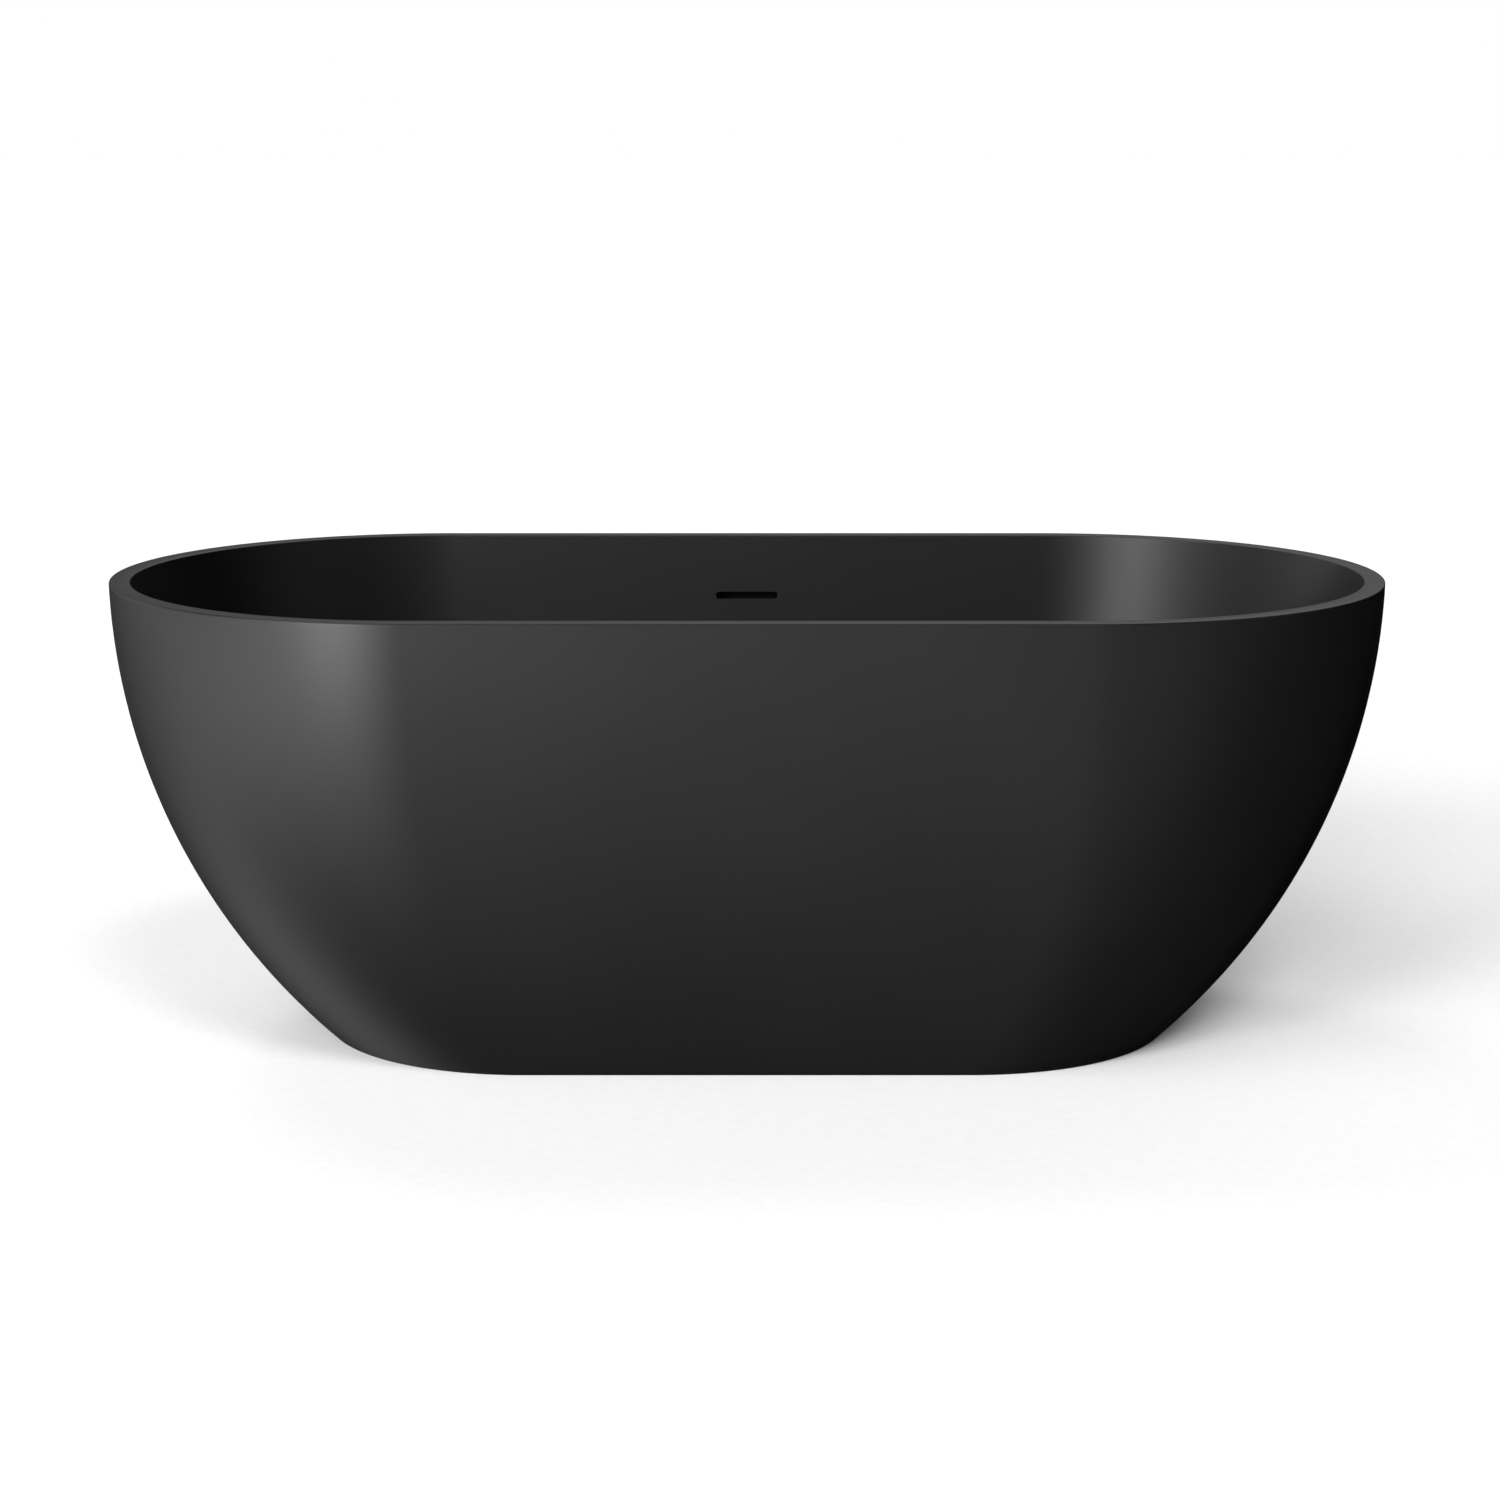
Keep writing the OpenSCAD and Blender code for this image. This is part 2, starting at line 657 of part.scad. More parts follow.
// Height and distance back of a point in the slot's frame.
function slot_world(y, z) = [slot_y + y * cos(slot_lean) + z * sin(slot_lean),
                             slot_z - y * sin(slot_lean) + z * cos(slot_lean)];
hose_top = slot_world(sump_y, -duct_drop - 0.5);
hose_free = slot_world(sump_y, -duct_drop - spigot_length - 2);
function hose_follow(z) = shell_in_b(z) - hose_gap - hose_od / 2;
// The hose leaves the spigot, runs down beside the shell to this height, and bends level to the tee.
bend_top = 2 * inlet_height;
bend_lean = atan(arc_lean(bend_top, tub_width / 2, base_width / 2, tub_height, 0, outer_apex));
bend_r = (bend_top - inlet_height) / (1 - sin(bend_lean));
hose_drift = hose_free[0] - hose_follow(hose_free[1]);
hose_path = concat(
    [hose_top],
    [for (i = [0:20]) let (z = hose_free[1] + (bend_top - hose_free[1]) * i / 20)
        [hose_follow(z) + hose_drift * (1 - i / 20), z]],
    [for (i = [1:12]) let (a = bend_lean + (90 - bend_lean) * i / 12)
        [hose_follow(bend_top) - bend_r * (cos(bend_lean) - cos(a)),
         bend_top - bend_r * (sin(a) - sin(bend_lean))]],
    [[inlet_reach - spigot_length + 0.5, inlet_height]]);

// Ring of radius r round point i of a path in the YZ plane.
function path_ring(path, i, r) =
    let (a = path[max(i - 1, 0)], b = path[min(i + 1, len(path) - 1)],
         d = (b - a) / norm(b - a), n = [-d[1], d[0]])
    [for (s = [0:hose_sides - 1]) let (w = 360 * s / hose_sides)
        [r * sin(w), path[i][0] + r * cos(w) * n[0], path[i][1] + r * cos(w) * n[1]]];

module overflow_hose() {
    n = len(hose_path);
    color("#e4e4e0") skin(concat(
        [for (i = [0:n - 1]) path_ring(hose_path, i, hose_od / 2)],
        [for (i = [n - 1:-1:0]) path_ring(hose_path, i, hose_bore / 2)]), looped = true);
}

// Worm-drive clamp round +Z, with its screw housing towards +X.
module hose_clamp() {
    housing = [7, 12, clamp_width + 2];
    color("gainsboro") {
        ring(clamp_id + 2 * clamp_band_t, clamp_id, clamp_width);
        difference() {
            translate([clamp_id / 2 + 0.5, -housing[1] / 2, -1]) cube(housing);
            translate([0, 0, -2]) cylinder(d = clamp_id + clamp_band_t, h = housing[2] + 2);
        }
        translate([clamp_id / 2 + 4, housing[1] / 2, clamp_width / 2]) rotate([-90, 0, 0]) hex(6, 4);
    }
}

module hose_clamp_top() {
    at_slot() translate([0, sump_y, -duct_drop - spigot_length / 2 - clamp_width / 2]) hose_clamp();
}

module hose_clamp_bottom() {
    translate([0, inlet_reach - spigot_length / 2 - clamp_width / 2, inlet_height])
        rotate([-90, 0, 0]) hose_clamp();
}

// ---- Nodes ----

inner_basin();
outer_shell();
base_board();
rail(-1);  // rail_front
rail(1);  // rail_back
for (i = [0:3]) crossbar(i);
rail_end_caps();
cradle_screws();
foot_bushes();
for (i = [0:4]) foot_locknut(i);
for (i = [0:4]) foot_stud(i);
for (i = [0:4]) foot_pad(i);
waste_flange();
waste_seat_gasket();
waste_lower_gasket();
waste_tee();
tail_washer();
tail_nut();
tailpiece();
plug_cap();
plug_seal();
plug_stem();
click_cartridge();
click_spring();
overflow_box();
overflow_gasket();
overflow_screws();
overflow_hose();
hose_clamp_top();
hose_clamp_bottom();
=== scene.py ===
"""Freestanding bathtub: smooth shells, waste, overflow hose and levelling feet over the CAD frame."""

import json
import math

import bmesh
import bpy
from mathutils import Matrix, Vector


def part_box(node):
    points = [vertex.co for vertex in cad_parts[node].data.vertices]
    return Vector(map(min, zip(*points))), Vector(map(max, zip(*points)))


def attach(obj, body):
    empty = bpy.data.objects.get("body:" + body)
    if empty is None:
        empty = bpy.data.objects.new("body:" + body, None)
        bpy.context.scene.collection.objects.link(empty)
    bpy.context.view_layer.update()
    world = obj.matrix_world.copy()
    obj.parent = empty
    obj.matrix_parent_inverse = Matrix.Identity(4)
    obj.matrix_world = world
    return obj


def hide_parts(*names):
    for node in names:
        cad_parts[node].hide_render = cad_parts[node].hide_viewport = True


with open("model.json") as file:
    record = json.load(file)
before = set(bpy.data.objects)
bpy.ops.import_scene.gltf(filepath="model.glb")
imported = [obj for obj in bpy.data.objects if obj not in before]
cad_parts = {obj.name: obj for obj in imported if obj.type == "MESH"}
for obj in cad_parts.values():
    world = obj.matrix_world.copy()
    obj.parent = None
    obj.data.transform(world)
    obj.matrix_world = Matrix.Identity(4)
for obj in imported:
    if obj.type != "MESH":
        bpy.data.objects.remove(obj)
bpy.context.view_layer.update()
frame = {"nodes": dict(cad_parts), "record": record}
nodes = frame["nodes"]


# ---- Sizes, in metres, as the CAD source has them ----

MM = 0.001
LENGTH, WIDTH, HEIGHT = 1.6, 0.8, 0.58
BASE_LENGTH, BASE_WIDTH = 1.07, 0.522
RIM_WIDTH, RIM_THICKNESS, RIM_ROUND = 26 * MM, 12 * MM, 1.5 * MM
SHELL_WALL, LIP_WIDTH, LIP_THICKNESS = 8 * MM, 22 * MM, 8 * MM
BASIN_WALL, FLOOR_Z, FLOOR_FILLET = 10 * MM, 145 * MM, 90 * MM
FLOOR_GAP = 62 * MM
OUTER_APEX, INNER_APEX = HEIGHT + 15 * MM, HEIGHT + 220 * MM
SEAM_Z = HEIGHT - RIM_THICKNESS
DRAIN_Z = FLOOR_Z - 5 * MM
UNDER_Z = DRAIN_Z - 12 * MM
RECESS_R, RECESS_Z, WASTE_HOLE_R = 35.75 * MM, 134.5 * MM, 26 * MM
SLOT_LENGTH, SLOT_HEIGHT, SLOT_Z = 84 * MM, 9 * MM, HEIGHT - 81 * MM
POCKET_DEPTH, POCKET_W, POCKET_H = 7.5 * MM, 126 * MM, 46 * MM
DRAIN_ROUND, SLOT_ROUND, BASE_ROUND = 0.6 * MM, 0.5 * MM, 1.5 * MM
# The skin is finer in a patch round the slot. These are its half sizes and its steps each way.
PATCH_W, PATCH_H, PATCH_STEPS = 72 * MM, 30 * MM, 12
END_STEPS, SIDE_STEPS = 96, 4


class Wall:
    """Half size of a wall that bows outwards along a circular arc, at any height."""

    def __init__(self, top, low, z_top, z_low, apex):
        self.top, self.apex, self.above = top, apex, apex - z_top
        across, down = top - low, apex - z_low
        self.reach = ((down**2 - self.above**2) / across + across) / 2

    def chord(self, z):
        return math.sqrt(self.reach**2 + self.above**2 - (self.apex - z) ** 2)

    def at(self, z):
        return self.top - self.reach + self.chord(z)

    def lean(self, z):
        return (self.apex - z) / self.chord(z)

    def level(self, z, thickness):
        """Level distance through a wall of the given thickness."""
        return thickness * math.sqrt(1 + self.lean(z) ** 2)


outer_a = Wall(LENGTH / 2, BASE_LENGTH / 2, HEIGHT, 0, OUTER_APEX)
outer_b = Wall(WIDTH / 2, BASE_WIDTH / 2, HEIGHT, 0, OUTER_APEX)
inner_a = Wall(LENGTH / 2 - RIM_WIDTH, outer_a.at(FLOOR_Z) - FLOOR_GAP, HEIGHT, FLOOR_Z, INNER_APEX)
inner_b = Wall(WIDTH / 2 - RIM_WIDTH, outer_b.at(FLOOR_Z) - FLOOR_GAP, HEIGHT, FLOOR_Z, INNER_APEX)


# ---- Meshes ----


def outline(a, b, z):
    """Round-ended outline: half length a, half width b. Its points keep their order at every size."""
    straight = a - b
    side = [-straight + (straight - PATCH_W) * i / SIDE_STEPS for i in range(SIDE_STEPS)]
    middle = [-PATCH_W + 2 * PATCH_W * i / PATCH_STEPS for i in range(PATCH_STEPS + 1)]
    side = side + middle + [-x for x in reversed(side)]
    turns = [math.pi * (i / END_STEPS - 0.5) for i in range(1, END_STEPS)]
    right = [(straight + b * math.cos(t), b * math.sin(t)) for t in turns]
    left = [(-x, -y) for x, y in right]
    front, back = [(x, -b) for x in side], [(-x, b) for x in side]
    return [Vector((x, y, z)) for x, y in front + right + back + left]


def circle_like(ring, radius, z):
    """Circle whose points stand in the same directions as a ring's."""
    return [Vector((p.x, p.y, 0)).normalized() * radius + Vector((0, 0, z)) for p in ring]


def make(name, points, faces, smooth_below=35):
    """Mesh object with smooth shading, apart from edges sharper than the given angle in degrees."""
    used = sorted({i for face in faces for i in face})
    place = {old: new for new, old in enumerate(used)}
    mesh = bpy.data.meshes.new(name)
    mesh.from_pydata([tuple(points[i]) for i in used], [], [[place[i] for i in face] for face in faces])
    mesh.validate()
    mesh.shade_smooth()
    mesh.set_sharp_from_angle(angle=math.radians(smooth_below))
    piece = bpy.data.objects.new(name, mesh)
    bpy.context.scene.collection.objects.link(piece)
    return piece


def bands(count, size, looped=True, skip=lambda j, i: False):
    """Quads between rings of equal size, leaving out those that skip names."""
    last = count if looped else count - 1
    return [
        (j * size + i, j * size + (i + 1) % size, (j + 1) % count * size + (i + 1) % size,
         (j + 1) % count * size + i)
        for j in range(last)
        for i in range(size)
        if not skip(j, i)
    ]


def levels(start, end, count):
    """Heights after start, up to end, in equal steps."""
    return [start + (end - start) * (i + 1) / count for i in range(count)]


def rounded(x0, z0, x1, z1, steps=5):
    """Offsets from (x0, z0) to (x1, z1) round a quarter turn that starts upright and ends level."""
    turns = [math.pi / 2 * i / steps for i in range(steps + 1)]
    return [(x0 + (x1 - x0) * (1 - math.cos(t)), z0 + (z1 - z0) * math.sin(t)) for t in turns]


def fillet(steps):
    """(height above the floor, inset from the wall, turn) down the fillet between wall and floor."""
    turns = [math.pi / 2 * i / steps for i in range(steps + 1)]
    return [(FLOOR_FILLET * (1 - math.cos(t)), FLOOR_FILLET * (1 - math.sin(t)), t) for t in turns]


def build_basin():
    """The basin as one closed skin: waste hole, floor, walls, rim and back, with the slot cut through."""
    rings = []
    flat = outline(inner_a.at(FLOOR_Z) - FLOOR_FILLET, inner_b.at(FLOOR_Z) - FLOOR_FILLET, FLOOR_Z)
    for radius, z in [(WASTE_HOLE_R, UNDER_Z), (WASTE_HOLE_R, RECESS_Z), (RECESS_R, RECESS_Z)]:
        rings.append(circle_like(flat, radius, z))
    for d, z in rounded(0, DRAIN_Z - DRAIN_ROUND, DRAIN_ROUND, DRAIN_Z, 4):
        rings.append(circle_like(flat, RECESS_R + d, z))
    edge = circle_like(flat, RECESS_R + DRAIN_ROUND, DRAIN_Z)
    for s in levels(0, 1, 12)[:-1]:
        rise = (FLOOR_Z - DRAIN_Z) * (1 - (1 - s) ** 2)
        rings.append([Vector((*p.lerp(q, s).xy, DRAIN_Z + rise)) for p, q in zip(edge, flat)])
    for up, inset, _ in fillet(20):
        z = FLOOR_Z + up
        rings.append(outline(inner_a.at(z) - inset, inner_b.at(z) - inset, z))
    fillet_top = FLOOR_Z + FLOOR_FILLET
    low, high = SLOT_Z - PATCH_H, SLOT_Z + PATCH_H
    inside_zs = levels(fillet_top, low, 16)
    inside_slot = len(rings) + len(inside_zs) - 1
    inside_zs += levels(low, high, PATCH_STEPS) + levels(high, HEIGHT - RIM_ROUND, 6)[:-1]
    rings += [outline(inner_a.at(z), inner_b.at(z), z) for z in inside_zs]
    top_a, top_b = LENGTH / 2 - RIM_WIDTH, WIDTH / 2 - RIM_WIDTH
    z0 = HEIGHT - RIM_ROUND
    start = inner_a.at(z0) - top_a
    rings += [outline(top_a + d, top_b + d, z) for d, z in rounded(start, z0, RIM_ROUND, HEIGHT)]
    start = outer_a.at(z0) - LENGTH / 2
    rim_outside = rounded(start, z0, -RIM_ROUND, HEIGHT)
    rings += [outline(LENGTH / 2 + d, WIDTH / 2 + d, z) for d, z in reversed(rim_outside)]
    for z in [HEIGHT - 4 * MM, HEIGHT - 8 * MM, SEAM_Z + 1 * MM, SEAM_Z]:
        rings.append(outline(outer_a.at(z), outer_b.at(z), z))
    back_zs = [SEAM_Z] + levels(SEAM_Z, high, 4)
    back_slot = len(rings) + len(back_zs) - 1
    back_zs += levels(high, low, PATCH_STEPS) + levels(low, fillet_top, 16)[:-1]
    rings += [outline(inner_a.at(z) + BASIN_WALL, inner_b.at(z) + BASIN_WALL, z) for z in back_zs]
    for up, inset, turn in reversed(fillet(20)):
        z = FLOOR_Z + up
        out = BASIN_WALL * math.sin(turn) - inset
        drop = (FLOOR_Z - UNDER_Z) * math.cos(turn)
        rings.append(outline(inner_a.at(z) + out, inner_b.at(z) + out, z - drop))
    size = len(flat)
    middle = size // 2 + SIDE_STEPS
    slot_columns = range(middle, middle + PATCH_STEPS)

    def in_slot(j, i):
        in_rows = any(first <= j < first + PATCH_STEPS for first in (inside_slot, back_slot))
        return in_rows and i in slot_columns

    points = [p for ring in rings for p in ring]
    faces = [face[::-1] for face in bands(len(rings), size, skip=in_slot)]
    inside = patch_border(inside_slot, middle, size, upwards=True)
    behind = patch_border(back_slot, middle, size, upwards=False)
    loops = slot_loops([points[k] for k in inside])
    chain = [inside]
    for loop in loops:
        chain.append(range(len(points), len(points) + len(loop)))
        points += loop
    chain.append(behind)
    count = len(inside)
    for a, b in zip(chain, chain[1:]):
        faces += [(a[i], b[i], b[(i + 1) % count], a[(i + 1) % count]) for i in range(count)]
    return points, faces


def patch_border(row, column, size, upwards):
    """Point numbers round the gap left for the slot, from its low corner on the +X side."""
    n = PATCH_STEPS
    lower, upper = (row, row + n) if upwards else (row + n, row)
    step = 1 if upwards else -1
    bottom = [lower * size + column + i for i in range(n)]
    left = [(lower + step * j) * size + column + n for j in range(n)]
    top = [upper * size + column + n - i for i in range(n)]
    right = [(upper - step * j) * size + column for j in range(n)]
    return bottom + left + top + right


def slot_loops(border):
    """Loops of points from the basin's surface round the slot's edge, through it and into its pocket."""
    n = PATCH_STEPS
    middle_y, lean = inner_b.at(SLOT_Z), math.atan(inner_b.lean(SLOT_Z))
    out = Vector((0, math.cos(lean), -math.sin(lean)))
    up = Vector((0, math.sin(lean), math.cos(lean)))
    origin = Vector((0, middle_y, SLOT_Z))

    def placed(x, depth, height):
        return origin + Vector((x, 0, 0)) + out * depth + up * height

    def slot_at(grow, depth):
        half, r = (SLOT_LENGTH - SLOT_HEIGHT) / 2, SLOT_HEIGHT / 2 + grow
        bottom = [(half - 2 * half * i / n, -r) for i in range(n)]
        turns = [math.pi * i / n for i in range(n)]
        left = [(-half - r * math.sin(t), -r * math.cos(t)) for t in turns]
        opposite = [(-x, -h) for x, h in bottom + left]
        return [placed(x, depth, h) for x, h in bottom + left + opposite]

    def rectangle(w, h, depth):
        bottom = [(w - 2 * w * i / n, -h) for i in range(n)]
        left = [(-w, -h + 2 * h * i / n) for i in range(n)]
        opposite = [(-x, -y) for x, y in bottom + left]
        return [placed(x, depth, y) for x, y in bottom + left + opposite]

    def on_surface(p):
        return Vector((p.x, inner_b.at(p.z), p.z))

    at_lip = [on_surface(p) for p in slot_at(SLOT_ROUND, 0)]
    shares = (0.4, 0.7, 0.9, 0.97)
    loops = [[on_surface(p.lerp(q, t)) for p, q in zip(border, at_lip)] for t in shares]
    loops.append(at_lip)
    for step in range(1, 6):
        turn = math.pi / 2 * step / 5
        loops.append(slot_at(SLOT_ROUND * (1 - math.sin(turn)), SLOT_ROUND * (1 - math.cos(turn))))
    loops.append(slot_at(0, POCKET_DEPTH))
    loops.append(rectangle(POCKET_W / 2, POCKET_H / 2, POCKET_DEPTH))
    rim = rectangle(POCKET_W / 2, POCKET_H / 2, 0)
    loops.append([Vector((p.x, inner_b.at(p.z) + BASIN_WALL, p.z)) for p in rim])
    return loops


def build_shell():
    """The outer skin as a closed loop of rings: lip, base edge, outside, top edge and inside."""
    def within(wall, z):
        return wall.at(z) - wall.level(z, SHELL_WALL)

    lip_a = within(outer_a, LIP_THICKNESS) - LIP_WIDTH
    lip_b = within(outer_b, LIP_THICKNESS) - LIP_WIDTH
    rings = [outline(lip_a, lip_b, LIP_THICKNESS), outline(lip_a, lip_b, 0)]
    for i in range(6):
        turn = math.pi / 2 * i / 5
        z = BASE_ROUND * (1 - math.cos(turn))
        d = BASE_ROUND * (1 - math.sin(turn))
        rings.append(outline(outer_a.at(z) - d, outer_b.at(z) - d, z))
    outside = levels(BASE_ROUND, 100 * MM, 8) + levels(100 * MM, SEAM_Z - 12 * MM, 36)
    outside += [SEAM_Z - 6 * MM, SEAM_Z - 3 * MM, SEAM_Z - 1 * MM, SEAM_Z]
    rings += [outline(outer_a.at(z), outer_b.at(z), z) for z in outside]
    inside = [SEAM_Z] + levels(SEAM_Z, LIP_THICKNESS, 24)
    rings += [outline(within(outer_a, z), within(outer_b, z), z) for z in inside]
    faces = bands(len(rings), len(rings[0]))
    return [p for ring in rings for p in ring], faces


# ---- Shapes: each is (points, faces) ----


def combine(*shapes):
    """Several shapes as one."""
    points, faces = [], []
    for own_points, own_faces in shapes:
        start = len(points)
        points += own_points
        faces += [tuple(start + k for k in face) for face in own_faces]
    return points, faces


def moved(shape, place):
    """The shape carried by a matrix or shifted by a vector."""
    shift = place if isinstance(place, Matrix) else Matrix.Translation(place)
    return [shift @ Vector(p) for p in shape[0]], shape[1]


def turned(rows, steps=72, looped=False):
    """Solid round the Z axis through rows of (height, radius), bottom to top on the outside.
    A radius is a number or a function of the turn round the axis. Looped rows come back down a bore."""
    turns = [2 * math.pi * i / steps for i in range(steps)]
    points = []
    for z, radius in rows:
        sizes = [radius(t) if callable(radius) else radius for t in turns]
        points += [Vector((r * math.cos(t), r * math.sin(t), z)) for r, t in zip(sizes, turns)]
    faces = bands(len(rows), steps, looped)
    if not looped:
        last = (len(rows) - 1) * steps
        points += [Vector((0, 0, rows[0][0])), Vector((0, 0, rows[-1][0]))]
        low, high = len(points) - 2, len(points) - 1
        faces += [(low, (i + 1) % steps, i) for i in range(steps)]
        faces += [(last + i, last + (i + 1) % steps, high) for i in range(steps)]
    return points, faces


def hexagon(across_flats, limit=1):
    """Radius round a hexagon, cut off at a circle of limit metres."""
    return lambda t: min(across_flats / 2 / math.cos(t % (math.pi / 3) - math.pi / 6), limit)


def hex_rows(across_flats, low, high):
    """Rows up a hexagon whose corners are chamfered at 30 degrees at both ends."""
    corner = across_flats / 2 / math.cos(math.pi / 6)
    face = 0.97 * across_flats / 2
    slope = math.tan(math.pi / 6)
    cuts = [face + (corner - face) * i / 4 for i in range(5)]
    start = [(low + (r - face) * slope, hexagon(across_flats, r)) for r in cuts]
    end = [(high - (r - face) * slope, hexagon(across_flats, r)) for r in reversed(cuts)]
    return start + end


def thread_rows(diameter, pitch, low, high, depth, per_turn=6):
    """Rows up a screw thread whose crests stand at the diameter, tapered off at both ends."""
    def around(z):
        taper = min(1, (z - low) / pitch, (high - z) / pitch)
        root = diameter / 2 - depth

        def radius(t):
            wave = 0.5 + 0.5 * math.cos(2 * math.pi * z / pitch - t)
            return root + depth * taper * min(1, 1.25 * wave)

        return radius

    count = round((high - low) / pitch * per_turn)
    heights = [low + (high - low) * i / count for i in range(count + 1)]
    return [(z, around(z)) for z in heights]


def corner_rows(radius, z, edge, steps=4):
    """Rows round an outer edge that turns from an upright wall of the radius in to a level top at z."""
    turns = [math.pi / 2 * i / steps for i in range(steps + 1)]
    return [(z - edge + edge * math.sin(t), radius - edge + edge * math.cos(t)) for t in turns]


def block(low, high, edge):
    """Box between two corners, with every edge chamfered."""
    box = bmesh.new()
    bmesh.ops.create_cube(box, size=1)
    size = Vector(high) - Vector(low)
    for v in box.verts:
        v.co = Vector(low) + Vector((v.co[i] + 0.5) * size[i] for i in range(3))
    bmesh.ops.bevel(box, geom=box.edges[:], offset=edge, segments=2, affect="EDGES", profile=0.7)
    box.verts.index_update()
    made = [v.co.copy() for v in box.verts], [tuple(v.index for v in f.verts) for f in box.faces]
    box.free()
    return made


def hollow_sweep(path, outer, inner, sides):
    """Tube along a path in the YZ plane, whose radii are functions of the distance along it."""
    steps = [(b - a).length for a, b in zip(path, path[1:])]
    along = [sum(steps[:i]) for i in range(len(path))]
    rings = []
    for i, (p, s) in enumerate(zip(path, along)):
        way = (path[min(i + 1, len(path) - 1)] - path[max(i - 1, 0)]).normalized()
        across = Vector((0, -way.z, way.y))
        turns = [2 * math.pi * k / sides for k in range(sides)]
        spokes = [Vector((math.sin(t), 0, 0)) + across * math.cos(t) for t in turns]
        rings.append([[p + spoke * r for spoke in spokes] for r in (outer(s), inner(s))])
    loop = [ring[0] for ring in rings] + [ring[1] for ring in reversed(rings)]
    return [p for ring in loop for p in ring], bands(len(loop), sides)


# ---- Pieces that stand for CAD nodes ----

TUBE_Z, RAIL_Y, RAIL_LENGTH = 91 * MM, 140.4 * MM, 760 * MM
FOOT_BOXES = [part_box(f"foot_pad_{i}") for i in range(1, 6)]
FOOT_PLACES = [((low + high) / 2).xy.to_3d() for low, high in FOOT_BOXES]
STUD_D, STUD_PITCH, STUD_TOP = 12 * MM, 1.75 * MM, 110 * MM
THREAD_DEPTH = 0.55 * STUD_PITCH
NUT_FLATS, NUT_LOW, NUT_HIGH = 18.96 * MM, 79 * MM, 88 * MM
FIT = 0.05 * MM
PAD_R, PAD_H, PAD_NECK_R, PAD_RIM_R = 25 * MM, 14 * MM, 12 * MM, 20 * MM
THROAT_R, TAIL_R, TAIL_Z = 20 * MM, 23.5 * MM, 85 * MM
FLANGE_R, FLANGE_Z, DISH_R, DISH_Z = 35 * MM, 136 * MM, 32 * MM, 138.5 * MM
BOSS_R, BOSS_BORE, BOSS_H, ARM_W = 9 * MM, 4.05 * MM, 5 * MM, 3 * MM
CAP_R, CAP_Z, CAP_H, CAP_EDGE = 31 * MM, 140.5 * MM, 6 * MM, 2 * MM
HOSE_R, HOSE_BORE_R, CUFF, WAVE, WAVE_DEPTH = 11.5 * MM, 9.4 * MM, 28 * MM, 5 * MM, 1.1 * MM
BOX_FACE, BOX_SCREW_X, BOX_SCREW_Z = 11.5 * MM, 54 * MM, 15 * MM
SLOT_FRAME = Matrix.Translation((0, inner_b.at(SLOT_Z), SLOT_Z))
SLOT_FRAME = SLOT_FRAME @ Matrix.Rotation(-math.atan(inner_b.lean(SLOT_Z)), 4, "X")


def foot_pad():
    """Moulded pad with finger flutes round its cone and a socket for the stud."""
    def fluted(radius, depth):
        return lambda t: radius - depth * max(0, math.cos(20 * t)) ** 2

    rows = [(0.8 * MM, PAD_RIM_R), (0.8 * MM, PAD_RIM_R + 2 * MM), (0, PAD_RIM_R + 2.5 * MM)]
    rows += [(0, PAD_R - 1 * MM), (0.3 * MM, PAD_R - 0.4 * MM), (1 * MM, PAD_R), (4 * MM, PAD_R)]
    rows += [(6.2 * MM, PAD_R), (7 * MM, PAD_R - 0.6 * MM)]
    for i in range(9):
        s = i / 8
        radius = PAD_R - 0.8 * MM - (PAD_R - PAD_NECK_R - 2 * MM) * s
        rows.append((7.2 * MM + (PAD_H - 8.2 * MM) * s, fluted(radius, 1.1 * MM * math.sin(math.pi * s))))
    rows += corner_rows(PAD_NECK_R, PAD_H, 1 * MM)
    socket = STUD_D / 2 + FIT
    rows += [(PAD_H, socket + 0.5 * MM), (PAD_H - 0.5 * MM, socket), (6.5 * MM, socket)]
    return turned(rows, 120)


def foot_stud():
    """Threaded stud with a turned neck and a hexagon for a wrench."""
    neck = STUD_D / 2 - 0.6 * MM
    rows = [(7 * MM, neck - 1 * MM), (8 * MM, neck), (14.6 * MM, neck)]
    rows += hex_rows(17 * MM, 15 * MM, 23 * MM)
    rows += thread_rows(STUD_D, STUD_PITCH, 23.2 * MM, STUD_TOP, THREAD_DEPTH)
    return turned(rows, 36)


def locknut():
    """Hexagon nut with a countersink at both ends of its bore."""
    bore, sink = STUD_D / 2 + FIT, 0.7 * MM
    rows = hex_rows(NUT_FLATS, NUT_LOW, NUT_HIGH)
    rows += [(NUT_HIGH, bore + sink), (NUT_HIGH - sink, bore), (NUT_LOW + sink, bore), (NUT_LOW, bore + sink)]
    return turned(rows, looped=True)


def cradle_screw():
    """Self-drilling screw under the cradle: washer face and hexagon head below, coarse thread above."""
    flats = 7 * MM
    rows = [(88 * MM, hexagon(flats, 3.3 * MM)), (88.4 * MM, hexagon(flats)), (90 * MM, hexagon(flats))]
    rows += [(90.1 * MM, 4.3 * MM), (90.4 * MM, 4.5 * MM), (TUBE_Z, 4.5 * MM), (TUBE_Z, 2.4 * MM)]
    rows += thread_rows(4.8 * MM, 1.8 * MM, TUBE_Z + 0.5 * MM, 125 * MM, 0.5 * MM)
    return turned(rows, 24)


def cap_screw():
    """Pan head with a hexagon socket, whose face looks along +Z with its underside at 0."""
    socket = hexagon(2.5 * MM)
    rows = [(-8 * MM, 1.2 * MM), (-7.6 * MM, 1.5 * MM), (0, 1.5 * MM), (0, 3.1 * MM)]
    rows += corner_rows(3.2 * MM, 2 * MM, 1.1 * MM)
    rows += [(2 * MM, socket), (0.7 * MM, socket)]
    return turned(rows, 36)


